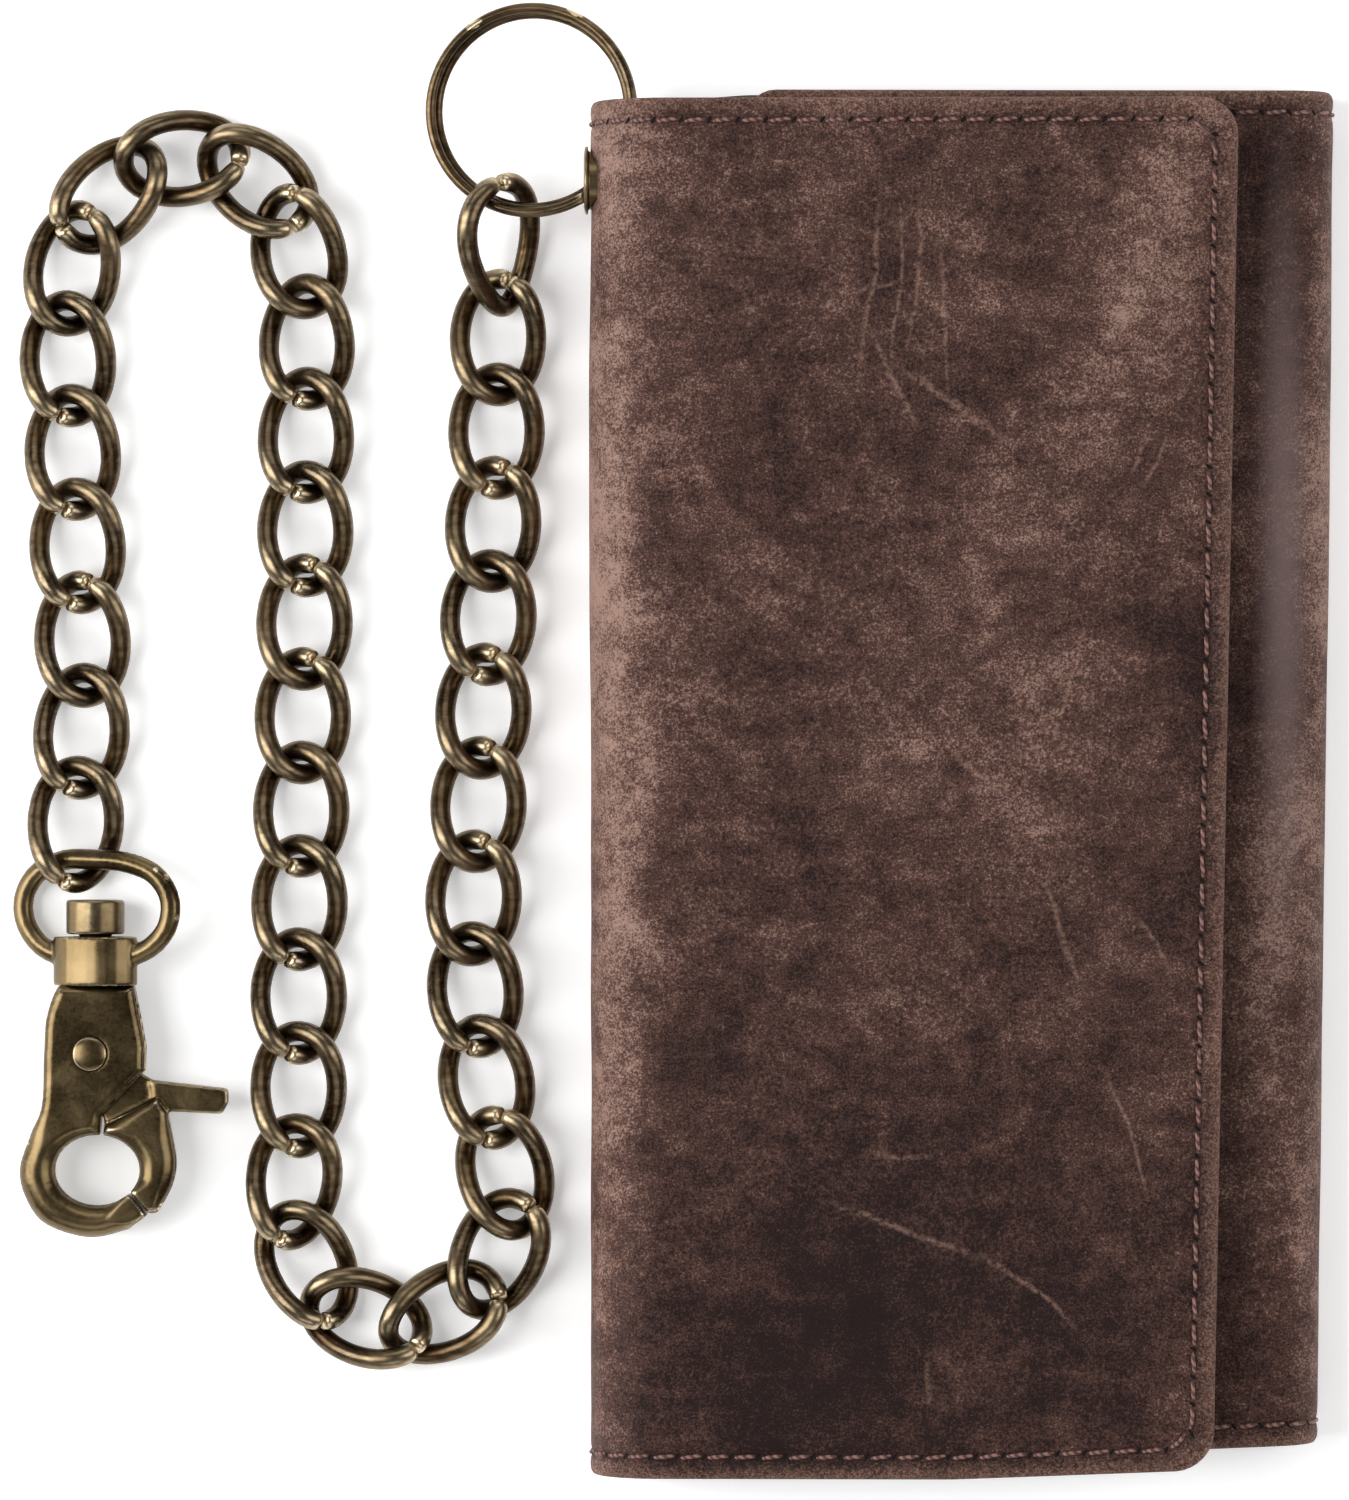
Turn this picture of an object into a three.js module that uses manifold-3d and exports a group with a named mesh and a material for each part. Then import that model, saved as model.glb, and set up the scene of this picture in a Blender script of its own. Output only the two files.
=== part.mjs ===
// Long trifold chain wallet: a folded leather wallet with a split ring, a curb chain and a trigger snap.
// Millimetres, +Z up. The wallet lies closed on its back. The origin is the centre of the back's resting face,
// +X points at the fold of the inner panel, +Y at the wallet's top edge, and the chain lies on the -X side.
import * as THREE from 'three';
import { mergeVertices } from 'three/addons/utils/BufferGeometryUtils.js';
import Module from 'manifold-3d';

const wasm = await Module();
wasm.setup();

// ---------- driving dimensions ----------
const GAP = 0.3;                       // clearance between touching pieces

const WALLET = { left: -51.1, right: 51.1, top: 93.3, bottom: -96.2 };
const LEATHER = 1.6;                   // thickness of the outer leather
const LEFT_FOLD_RADIUS = 10;           // outside radius of the fold under the front flap
const RIGHT_FOLD_RADIUS = 6.25;        // outside radius of the fold of the inner panel
const LEFT_HINGE_ANGLE = 145;          // degrees round the left fold where the flap starts to turn
const RIGHT_HINGE_ANGLE = 30;          // degrees round the right fold where the inner panel starts to turn
const HINGE_SPLIT = 1.6;               // degrees of fold left open each side of a hinge line
const FLAP_EDGE = 36.4;                // free edge of the front flap
const FLAP_CORNER = 5.4;
const INNER_EDGE = -29.6;              // free edge of the inner panel
const INNER_CORNER = 4;
// The wallet is a little out of square. Taper narrows it towards the bottom. Top and bottom say how far those edges
// stand above their plain places, as [x, rise] points with straight runs between them.
const BACK_SKEW = { taper: 1.1, top: [[-51.1, 0], [-29.6, 1.7], [51.1, 1.55]], bottom: [[-51.1, 0], [51.1, 4.1]] };
const FLAP_SKEW = { taper: 2.05, top: [[-51.1, 0], [51.1, 0.2]], bottom: [[-51.1, 0], [0, -0.1], [36.4, 1.2]] };
const EDGE_BENDS = [-29.6, 0];         // where those edges change direction

const BACK_LINING = { from: 6.2, to: 8.6 };
const INNER_LINING = { from: 9.0, to: 10.3 };
const FLAP_LINING = { from: 17.0, to: 18.1 };
const CARD_POCKETS = [                 // from the lining outwards, each with its mouth further to the right
  { left: -20, from: 16.1, to: 16.7 },
  { left: -8, from: 15.3, to: 15.8 },
  { left: 4, from: 14.6, to: 15.0 },
];
const CARD_POCKET_RIGHT = 24;

const SNAP = { x: 30, y: 58, flange: 4.6, bore: 2.3, post: 1.8 };
const ZIP = { tapeLeft: -31.5, tapeRight: -30.2, from: 9.7, to: 12.1, halfLength: 84, sliderY: -76 };

const EYELET = { y: 82.5, z: 10, bore: 3.3, barrel: 4.0, flange: 4.7 };
const RING = { x: -59, y: 92.3, radius: 13.75, wire: 0.6, pitch: 1.5, tilt: 9, jog: -44, jogHalfWidth: 11 };

const WIRE = 1.5;                      // radius of the chain's wire
const LINK = { halfWidth: 5.3, halfLength: 8.15, twist: 1.98 };
const LINK_REACH = 6.5;                // from a link's centre to where it bears on the next
const TURN_LOSS = 0.65 / 50;           // how much closer links sit for each degree that the chain turns
const LINK_CUT = { at: 72, width: 4 }; // degrees round the link: its butt joint
const CHAIN_START = new THREE.Vector3(-63.7, 67.6, 0);
// The chain's course from the ring to the hook, in runs of links. The heading is in degrees from straight down (-Y),
// positive towards +X. Links roll over sideways a little as the chain goes round a corner.
const CHAIN_COURSE = [
  { links: 2, heading: -1 },
  { links: 5, heading: -3 },
  { links: 1, heading: 5 },
  { links: 1, heading: 9 },
  { links: 1, heading: 14, roll: 2 },
  { links: 1, heading: -23, roll: 4 },
  { links: 1, heading: -63, roll: 6 },
  { links: 1, heading: -110, roll: -5 },
  { links: 1, heading: -155, roll: -8 },
  { links: 1, heading: -186, roll: -9 },
  { links: 1, heading: -180, roll: -5 },
  { links: 1, heading: -180, roll: -2 },
  { links: 4, heading: -181 },
  { links: 1, heading: -180, roll: 2 },
  { links: 1, heading: -181, roll: 4 },
  { links: 1, heading: -180, roll: 5 },
  { links: 1, heading: -169, roll: 6 },
  { links: 1, heading: -130, roll: 5 },
  { links: 1, heading: -84, roll: 2 },
  { links: 1, heading: -44, roll: -2 },
  { links: 1, heading: -9 },
  { links: 4, heading: 3 },
  { links: 1, heading: -4 },
  { links: 1, heading: -3, roll: 7, pitch: -2.5 },
];
// The end of each link that has the cut: s for the end nearer the ring, e for the other.
const CUT_ENDS = 'sesessseesssssssssseesssesseseeesee'.split('');

const JOINING_LINK = {
  x: -63.5, y: 73.75, z: 6.1, heading: 5.5, roll: 45.4, pitch: 21,
  halfWidth: 4.9, halfLength: 9.05, flare: 0.22, twist: 0,
};

const HOOK = { x: -119.7, y: -25.5, z: 4.7 };   // the middle of the swivel's collar
const COLLAR = { halfWidth: 6.05, halfDepth: 4.1, halfHeight: 3.4, bore: 2.7 };
const POST = { shaft: 2.2, head: 4.05, headFrom: 3.75, headTo: 8.5 };
const BODY = { halfDepth: 3.1, slotHalfDepth: 1.6, tongueHalfDepth: 1.3 };
const EYE = { x: 0.3, y: -29.0, halfWidth: 5.9, halfHeight: 4.9 };
const PIN = { x: -0.6, y: -12.8, shaft: 1.3, head: 2.35, headHeight: 0.5 };
const LOOP_ROLL = -17;                 // the swivel loop lies over at this angle

const rad = THREE.MathUtils.degToRad;

// ---------- materials ----------
function material(color, roughness, metalness) {
  return new THREE.MeshStandardMaterial({ color, roughness, metalness });
}
const outerLeather = material(0x5a403a, 0.62, 0);
const liningLeather = material(0x3c2a24, 0.7, 0);
const tapeFabric = material(0x2a211d, 0.9, 0);
const antiqueBrass = material(0x7d6a3f, 0.38, 1);
const springSteel = material(0x9a9a98, 0.35, 1);

const wallet = new THREE.Group();
function addPart(name, geometry, surface, parent = wallet) {
  const mesh = new THREE.Mesh(geometry, surface);
  mesh.name = name;
  parent.add(mesh);
  return mesh;
}

// ---------- solids ----------
function toSolid(geometry) {
  const bare = geometry.clone();
  bare.deleteAttribute('normal');
  bare.deleteAttribute('uv');
  const merged = mergeVertices(bare, 1e-4);
  return new wasm.Manifold(new wasm.Mesh({
    numProp: 3,
    vertProperties: new Float32Array(merged.attributes.position.array),
    triVerts: new Uint32Array(merged.index.array),
  }));
}

function toGeometry(solid) {
  const mesh = solid.getMesh();
  const geometry = new THREE.BufferGeometry();
  geometry.setAttribute('position', new THREE.BufferAttribute(new Float32Array(mesh.vertProperties), 3));
  geometry.setIndex(new THREE.BufferAttribute(new Uint32Array(mesh.triVerts), 1));
  geometry.computeVertexNormals();
  return geometry;
}

const cut = (body, ...tools) =>
  toGeometry(tools.reduce((solid, tool) => solid.subtract(toSolid(tool)), toSolid(body)));
const join = (body, ...others) =>
  toGeometry(others.reduce((solid, other) => solid.add(toSolid(other)), toSolid(body)));
const intersect = (body, other) => toGeometry(toSolid(body).intersect(toSolid(other)));

function prismAlongZ(shape, from, to, curveSegments = 10) {
  const geometry = new THREE.ExtrudeGeometry(shape, { depth: to - from, bevelEnabled: false, curveSegments });
  return geometry.translate(0, 0, from);
}

// A shape drawn with X across and Z up, run from one Y to another.
function prismAlongY(shape, from, to, curveSegments = 10) {
  const geometry = new THREE.ExtrudeGeometry(shape, { depth: to - from, bevelEnabled: false, curveSegments });
  return geometry.rotateX(Math.PI / 2).translate(0, to, 0);
}

function cylinder(radius, from, to, segments = 20) {
  const profile = [
    new THREE.Vector2(0, from),
    new THREE.Vector2(radius, from),
    new THREE.Vector2(radius, to),
    new THREE.Vector2(0, to),
  ];
  return new THREE.LatheGeometry(profile, segments);
}

function polygon(points) {
  return new THREE.Shape(points.map(([x, y]) => new THREE.Vector2(x, y)));
}

function tube(curve, radius, steps, sides) {
  const section = new THREE.Shape();
  for (let i = 0; i < sides; i += 1) {
    const angle = (2 * Math.PI * i) / sides;
    const x = radius * Math.cos(angle);
    const y = radius * Math.sin(angle);
    if (i === 0) section.moveTo(x, y);
    else section.lineTo(x, y);
  }
  return new THREE.ExtrudeGeometry(section, { steps, extrudePath: curve, bevelEnabled: false });
}

class ParametricCurve extends THREE.Curve {
  constructor(pointAt) {
    super();
    this.pointAt = pointAt;
  }

  getPoint(share, target = new THREE.Vector3()) {
    return target.copy(this.pointAt(share));
  }
}

// ---------- leather ----------
const WIDTH = WALLET.right - WALLET.left;
const MIDDLE_Y = (WALLET.top + WALLET.bottom) / 2;
const HALF_HEIGHT = (WALLET.top - WALLET.bottom) / 2;

function riseAt(points, x) {
  const last = Math.max(1, points.findIndex(([end], i) => i > 0 && (x <= end || i === points.length - 1)));
  const [[x0, rise0], [x1, rise1]] = [points[last - 1], points[last]];
  return rise0 + (rise1 - rise0) * (x - x0) / (x1 - x0);
}

function skewed(geometry, skew) {
  const position = geometry.attributes.position;
  for (let i = 0; i < position.count; i += 1) {
    const x = position.getX(i);
    const y = position.getY(i);
    const up = (y - MIDDLE_Y) / HALF_HEIGHT;
    const rise = riseAt(skew.top, x) * (1 + up) / 2 + riseAt(skew.bottom, x) * (1 - up) / 2;
    position.setXY(i, x + skew.taper * up * (x - WALLET.left) / WIDTH, y + rise);
  }
  return geometry;
}

// A rectangle between two X values and the wallet's top and bottom, with round corners at either side.
function panelOutline(left, right, inset, leftCorner, rightCorner) {
  const low = WALLET.bottom + inset;
  const high = WALLET.top - inset;
  const shape = new THREE.Shape();
  const bends = EDGE_BENDS.filter((x) => x > left + leftCorner + 0.5 && x < right - rightCorner - 0.5);
  shape.moveTo(left + leftCorner, low);
  for (const x of bends) shape.lineTo(x, low);
  shape.lineTo(right - rightCorner, low);
  if (rightCorner > 0) shape.absarc(right - rightCorner, low + rightCorner, rightCorner, rad(-90), 0, false);
  shape.lineTo(right, high - rightCorner);
  if (rightCorner > 0) shape.absarc(right - rightCorner, high - rightCorner, rightCorner, 0, rad(90), false);
  for (const x of bends.toReversed()) shape.lineTo(x, high);
  shape.lineTo(left + leftCorner, high);
  if (leftCorner > 0) shape.absarc(left + leftCorner, high - leftCorner, leftCorner, rad(90), rad(180), false);
  shape.lineTo(left, low + leftCorner);
  if (leftCorner > 0) shape.absarc(left + leftCorner, low + leftCorner, leftCorner, rad(180), rad(270), false);
  return shape;
}

const leftFold = { x: WALLET.left + LEFT_FOLD_RADIUS, z: LEFT_FOLD_RADIUS, radius: LEFT_FOLD_RADIUS };
const rightFold = { x: WALLET.right - RIGHT_FOLD_RADIUS, z: RIGHT_FOLD_RADIUS, radius: RIGHT_FOLD_RADIUS };

function backProfile() {
  const leftStart = rad(LEFT_HINGE_ANGLE + HINGE_SPLIT);
  const rightEnd = rad(RIGHT_HINGE_ANGLE - HINGE_SPLIT);
  const shape = new THREE.Shape();
  shape.absarc(leftFold.x, leftFold.z, leftFold.radius, leftStart, rad(270), false);
  shape.absarc(rightFold.x, rightFold.z, rightFold.radius, rad(-90), rightEnd, false);
  shape.absarc(rightFold.x, rightFold.z, rightFold.radius - LEATHER, rightEnd, rad(-90), true);
  shape.absarc(leftFold.x, leftFold.z, leftFold.radius - LEATHER, rad(270), leftStart, true);
  return shape;
}

function flapProfile() {
  const start = rad(LEFT_HINGE_ANGLE - HINGE_SPLIT);
  const high = 2 * leftFold.radius;
  const shape = new THREE.Shape();
  shape.absarc(leftFold.x, leftFold.z, leftFold.radius, start, rad(90), true);
  shape.lineTo(FLAP_EDGE + 1, high);
  shape.lineTo(FLAP_EDGE + 1, high - LEATHER);
  shape.absarc(leftFold.x, leftFold.z, leftFold.radius - LEATHER, rad(90), start, false);
  return shape;
}

function innerProfile() {
  const start = rad(RIGHT_HINGE_ANGLE + HINGE_SPLIT);
  const high = 2 * rightFold.radius;
  const shape = new THREE.Shape();
  shape.absarc(rightFold.x, rightFold.z, rightFold.radius, start, rad(90), false);
  shape.lineTo(INNER_EDGE - 1, high);
  shape.lineTo(INNER_EDGE - 1, high - LEATHER);
  shape.absarc(rightFold.x, rightFold.z, rightFold.radius - LEATHER, rad(90), start, true);
  return shape;
}

// Runs a profile over the wallet's height and trims it to a plan outline.
function foldedLeather(profile, outline, skew) {
  const sheet = prismAlongY(profile, WALLET.bottom - 2, WALLET.top + 2);
  const plan = prismAlongZ(outline, -1, 2 * LEFT_FOLD_RADIUS + 1);
  return skewed(intersect(sheet, plan), skew);
}

function alongX(geometry, x, y, z) {
  return geometry.rotateZ(-Math.PI / 2).translate(x, y, z);
}

function makeLeather() {
  const whole = panelOutline(WALLET.left - 1, WALLET.right + 1, 0, 0, 0);
  const back = foldedLeather(backProfile(), whole, BACK_SKEW);
  const { y, z, barrel, flange } = EYELET;
  const hole = alongX(cylinder(barrel + GAP, -3, 6), WALLET.left, y, z);
  const seat = alongX(cylinder(flange + GAP, LEATHER, 6), WALLET.left, y, z);
  const land = alongX(cylinder(flange + GAP, -3, GAP / 2), WALLET.left, y, z);
  addPart('back_panel', cut(back, hole, seat, land), outerLeather);

  const flapOutline = panelOutline(WALLET.left - 1, FLAP_EDGE, 0, 0, FLAP_CORNER);
  addPart('front_flap', foldedLeather(flapProfile(), flapOutline, FLAP_SKEW), outerLeather);

  const innerOutline = panelOutline(INNER_EDGE, WALLET.right + 1, 0, INNER_CORNER, 0);
  addPart('inner_panel', foldedLeather(innerProfile(), innerOutline, BACK_SKEW), outerLeather);
}

function flatPanel(outline, layer, skew) {
  return skewed(prismAlongZ(outline, layer.from, layer.to), skew);
}

function makeLinings() {
  const backLining = panelOutline(-42, 42, 1.5, 3, 3);
  addPart('back_lining', flatPanel(backLining, BACK_LINING, BACK_SKEW), liningLeather);
  const innerLining = panelOutline(INNER_EDGE, 42, 0.4, INNER_CORNER, 2);
  addPart('inner_lining', flatPanel(innerLining, INNER_LINING, BACK_SKEW), liningLeather);
  const flapLining = panelOutline(-40, FLAP_EDGE - 0.4, 0.4, 2, FLAP_CORNER);
  addPart('flap_lining', flatPanel(flapLining, FLAP_LINING, FLAP_SKEW), liningLeather);
  CARD_POCKETS.forEach((pocket, index) => {
    const outline = panelOutline(pocket.left, CARD_POCKET_RIGHT, 3, 1, 1);
    addPart(`card_pocket_${index + 1}`, flatPanel(outline, pocket, FLAP_SKEW), liningLeather);
  });
}

// ---------- closure and coin zip ----------
function makeSnaps() {
  const top = 2 * RIGHT_FOLD_RADIUS + GAP;
  const studProfile = [[0, top], [SNAP.flange, top], [SNAP.flange, top + 0.7], [SNAP.post, top + 0.9],
    [SNAP.post, top + 2.2], [SNAP.post - 0.6, top + 2.8], [0, top + 2.8]];
  const under = FLAP_LINING.from - GAP;
  const socketProfile = [[SNAP.bore, under - 2.6], [SNAP.flange, under - 2.2], [SNAP.flange, under],
    [SNAP.bore, under], [SNAP.bore, under - 2.6]];
  const lathe = (profile) =>
    new THREE.LatheGeometry(profile.map(([r, z]) => new THREE.Vector2(r, z)), 20).rotateX(Math.PI / 2);
  for (const [name, side] of [['upper', 1], ['lower', -1]]) {
    const stud = addPart(`${name}_snap_stud`, lathe(studProfile), antiqueBrass);
    const socket = addPart(`${name}_snap_socket`, lathe(socketProfile), antiqueBrass);
    for (const piece of [stud, socket]) piece.position.set(SNAP.x, MIDDLE_Y + side * SNAP.y, 0);
  }
}

function makeZip() {
  const { tapeLeft, tapeRight, from, to, halfLength, sliderY } = ZIP;
  const middle = (from + to) / 2;
  const box = (left, right, length, height) =>
    new THREE.BoxGeometry(right - left, length, height).translate((left + right) / 2, 0, middle);
  addPart('zip_tape', box(tapeLeft, tapeRight, 2 * halfLength, to - from), tapeFabric);

  // The slider wraps the tape's outer edge from above, outside and below; its pull hangs from the outside.
  const wall = 0.6;
  const wrap = box(tapeLeft - GAP - wall, tapeRight - GAP, 7, to - from + 2 * (GAP + wall));
  const groove = box(tapeLeft - GAP, tapeRight + 1, 9, to - from + 2 * GAP);
  const pull = box(tapeLeft - 2.2, tapeLeft - 0.7, 15, 2).translate(0, -6.5, 0);
  const slider = addPart('zip_slider', join(cut(wrap, groove), pull), antiqueBrass);
  slider.position.y = sliderY;
}

// ---------- eyelet and key ring ----------
function makeEyelet() {
  const { y, z, bore, barrel, flange } = EYELET;
  const lathe = (profile) => alongX(
    new THREE.LatheGeometry(profile.map(([r, h]) => new THREE.Vector2(r, h)), 28), WALLET.left, y, z);
  const inner = LEATHER + 2 * GAP;
  const barrelProfile = [[bore, -0.9], [flange - 0.4, -0.9], [flange, -0.5], [flange, -GAP / 2],
    [barrel, -GAP / 2], [barrel, inner + 0.8], [bore, inner + 0.8], [bore, -0.9]];
  const washerProfile = [[barrel + GAP, LEATHER + GAP], [flange, LEATHER + GAP], [flange, inner + 0.6],
    [barrel + GAP, inner + 0.6], [barrel + GAP, LEATHER + GAP]];
  addPart('eyelet_barrel', lathe(barrelProfile), antiqueBrass);
  addPart('eyelet_washer', lathe(washerProfile), antiqueBrass);
}

// Two flat turns of wire, one on the other. The wire climbs from one to the other at the jog, between its two ends.
// The ring lies over a little towards the table on the side away from the wallet.
function makeKeyRing() {
  const { x, y, radius, wire, pitch, tilt, jog, jogHalfWidth } = RING;
  const endGap = jogHalfWidth + 3;
  const start = jog + endGap;
  const sweep = 720 - 2 * endGap;
  const coil = new ParametricCurve((share) => {
    const angle = start + sweep * share;
    const climbed = THREE.MathUtils.smoothstep(angle, jog + 360 - jogHalfWidth, jog + 360 + jogHalfWidth);
    return new THREE.Vector3(radius * Math.cos(rad(angle)), radius * Math.sin(rad(angle)), pitch * (climbed - 0.5));
  });
  const ring = addPart('key_ring', tube(coil, wire, 76, 6), antiqueBrass);
  const drop = (WALLET.left - x) * Math.tan(rad(tilt));
  ring.position.set(x, y, EYELET.z - drop);
  ring.rotation.y = rad(-tilt);
}

// ---------- chain ----------
// A curb link: an oval wire whose width and length follow one turn, and whose height follows two.
// The wire starts and ends at the cut.
function linkCurve(link, cutAngle) {
  const open = rad(LINK_CUT.width);
  return new ParametricCurve((share) => {
    const t = rad(cutAngle) + open / 2 + share * (2 * Math.PI - open);
    const width = link.halfWidth * (1 + (link.flare ?? 0) * Math.sin(t));
    return new THREE.Vector3(width * Math.cos(t), link.halfLength * Math.sin(t), link.twist * Math.sin(2 * t));
  });
}

// How high a link's centre is when it lies rolled over on the table.
function restingHeight(link, roll) {
  let lowest = 0;
  for (let degrees = 0; degrees < 360; degrees += 5) {
    const across = link.halfWidth * Math.cos(rad(degrees)) * Math.sin(rad(roll));
    const up = link.twist * Math.sin(2 * rad(degrees)) * Math.cos(rad(roll));
    lowest = Math.max(lowest, Math.abs(up - across));
  }
  return lowest + WIRE;
}

// Works out where each link lies by walking from bearing point to bearing point.
function chainPlacements() {
  const course = CHAIN_COURSE.flatMap(({ links, heading, roll = 0, pitch = 0 }) =>
    Array.from({ length: links }, () => ({ heading, roll, pitch })));
  const bearing = CHAIN_START.clone();
  return course.map(({ heading, roll, pitch }, index) => {
    const turnIn = heading - (course[index - 1] ?? course[index]).heading;
    const turnOut = (course[index + 1] ?? course[index]).heading - heading;
    const along = new THREE.Vector3(Math.sin(rad(heading)), -Math.cos(rad(heading)), 0);
    const centre = bearing.clone().addScaledVector(along, LINK_REACH - TURN_LOSS * Math.abs(turnIn));
    bearing.copy(centre).addScaledVector(along, LINK_REACH - TURN_LOSS * Math.abs(turnOut));
    centre.z = restingHeight(LINK, roll);
    return { centre, heading, roll, pitch };
  });
}

function makeChain() {
  const { x, y, z, heading: joiningHeading, roll: joiningRoll, pitch: joiningPitch } = JOINING_LINK;
  const joining = addPart('joining_link', tube(linkCurve(JOINING_LINK, 80), WIRE, 20, 6), antiqueBrass);
  joining.position.set(x, y, z);
  joining.rotation.set(rad(joiningPitch), rad(joiningRoll), rad(joiningHeading));

  chainPlacements().forEach(({ centre, heading, roll, pitch }, index) => {
    const cutAngle = LINK_CUT.at + (CUT_ENDS[index] === 's' ? 0 : 180);
    const name = `chain_link_${String(index + 1).padStart(2, '0')}`;
    const link = addPart(name, tube(linkCurve(LINK, cutAngle), WIRE, 20, 6), antiqueBrass);
    link.position.copy(centre);
    link.rotation.set(rad(pitch), rad(roll), rad(heading), 'ZYX');
  });
}

// ---------- trigger snap ----------
// Drawn from the middle of the collar, +Y towards the chain.
const LOOP_ROUTE = [
  [-4.6, 0.4], [-8.2, 2.2], [-10.4, 5.4], [-10.6, 8.8], [-8.6, 12.2], [-4.6, 14.0],
  [0, 14.1], [4.6, 13.7], [8.8, 12.0], [11.0, 8.6], [10.6, 4.8], [8.2, 2.0], [4.6, 0.4],
];
const CHEEK_EDGE = [[0.9, -21.4], [6.9, -15.2]];   // the front edge of the hook's hollow shank
const JAW_MEETING = [[7.2, -35.3], [4.6, -32.4]];  // where the fixed jaw ends

function makeSwivel(hook) {
  const { halfWidth, halfDepth, halfHeight, bore } = COLLAR;
  const barrel = cylinder(1, -halfHeight, halfHeight, 24).scale(halfWidth, 1, halfDepth);
  const route = new THREE.CatmullRomCurve3(LOOP_ROUTE.map(([x, y]) => new THREE.Vector3(x, y, 0)));
  const loop = join(barrel, tube(route, WIRE, 40, 8));
  const swivel = addPart('swivel_loop', cut(loop, cylinder(bore, -5, 5)), antiqueBrass, hook);
  swivel.rotation.y = rad(LOOP_ROLL);

  const postProfile = [[0, -halfHeight], [POST.shaft, -halfHeight], [POST.shaft, POST.headFrom],
    [POST.head, POST.headFrom], [POST.head, POST.headTo - 0.5], [POST.head - 0.5, POST.headTo], [0, POST.headTo]];
  const post = new THREE.LatheGeometry(postProfile.map(([r, h]) => new THREE.Vector2(r, h)), 20);
  addPart('swivel_post', post, antiqueBrass, hook);
}

function eyeHole() {
  const oval = new THREE.Shape();
  oval.absellipse(EYE.x, EYE.y, EYE.halfWidth, EYE.halfHeight, 0, 2 * Math.PI, false);
  return prismAlongZ(oval, -9, 9, 14);
}

function pinHole(radius) {
  return cylinder(radius, -9, 9, 16).rotateX(Math.PI / 2).translate(PIN.x, PIN.y, 0);
}

function makeHookBody(hook) {
  const outline = new THREE.Shape();
  outline.moveTo(-5.0, -3.8);
  outline.splineThru([[-6.6, -7.5], [-7.0, -13], [-7.3, -20], [-8.9, -24], [-10.4, -28.6], [-9.7, -32.6],
    [-6.9, -36.4], [-0.8, -38.3], [4.6, -37.2]].map(([x, y]) => new THREE.Vector2(x, y)));
  for (const [x, y] of JAW_MEETING) outline.lineTo(x, y);
  outline.lineTo(EYE.x, EYE.y);
  outline.lineTo(0.7, -24.3);
  for (const [x, y] of CHEEK_EDGE) outline.lineTo(x, y);
  outline.lineTo(7.0, -11.8);
  outline.lineTo(6.2, -7.5);
  outline.lineTo(5.4, -3.8);
  const slot = polygon([[-5.4, -6.2], [9, -6.2], [9, -24], [0.4, -21.6], [-3.6, -18.5], [-5.4, -14]]);
  const plate = prismAlongZ(outline, -BODY.halfDepth, BODY.halfDepth, 6);
  const channel = prismAlongZ(slot, -BODY.slotHalfDepth, BODY.slotHalfDepth);
  addPart('hook_body', cut(plate, channel, eyeHole(), pinHole(PIN.shaft + GAP)), antiqueBrass, hook);
}

function makeTrigger(hook) {
  const clear = 0.35;
  const jaw = new THREE.Shape();
  jaw.moveTo(EYE.x + clear, EYE.y);
  jaw.lineTo(1.1, -24.3);
  jaw.lineTo(1.3, -22.8);
  jaw.lineTo(8.7, -19.0);
  jaw.lineTo(10.0, -20.8);
  jaw.splineThru([[10.9, -25.1], [11.3, -28.2], [10.6, -31.4], [8.7, -34.9]].map(([x, y]) => new THREE.Vector2(x, y)));
  jaw.lineTo(JAW_MEETING[0][0] + clear, JAW_MEETING[0][1] + clear);
  jaw.lineTo(JAW_MEETING[1][0] + clear, JAW_MEETING[1][1] + clear);
  const gate = cut(prismAlongZ(jaw, -BODY.halfDepth + 0.2, BODY.halfDepth - 0.2, 6), eyeHole());

  const tongueShape = polygon([[-1.7, -8.4], [0.9, -8.4], [2.4, -11.5], [4.5, -14.5], [7.8, -16.4], [9.4, -20],
    [4, -22.4], [1.4, -23.4], [1.2, -21.6], [-3.2, -15.2], [-3.4, -12.6], [-1.7, -10.4]]);
  const tongue = prismAlongZ(tongueShape, -BODY.tongueHalfDepth, BODY.tongueHalfDepth);
  const leverShape = polygon([[7.8, -16.5], [18.4, -17.7], [18.5, -19.6], [17.6, -21.2], [9.4, -20.8], [8.2, -19.4]]);
  const lever = prismAlongZ(leverShape, -1.7, 1.7);
  addPart('hook_trigger', cut(join(gate, tongue, lever), pinHole(PIN.shaft + GAP)), antiqueBrass, hook);
}

function makePinAndSpring(hook) {
  const inside = BODY.halfDepth + GAP;
  const high = inside + PIN.headHeight;
  const profile = [[0, -high], [PIN.head - 0.5, -high], [PIN.head, -inside], [PIN.shaft, -inside],
    [PIN.shaft, inside], [PIN.head, inside], [PIN.head - 0.5, high], [0, high]];
  const pin = new THREE.LatheGeometry(profile.map(([r, h]) => new THREE.Vector2(r, h)), 16);
  addPart('trigger_pin', pin.rotateX(Math.PI / 2).translate(PIN.x, PIN.y, 0), antiqueBrass, hook);

  const coil = new ParametricCurve((share) => {
    const angle = 2 * Math.PI * 3 * share;
    return new THREE.Vector3(-4.9 + 2.7 * share, -9.5 + 0.9 * Math.cos(angle), 0.9 * Math.sin(angle));
  });
  addPart('trigger_spring', tube(coil, 0.22, 36, 6), springSteel, hook);
}

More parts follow.
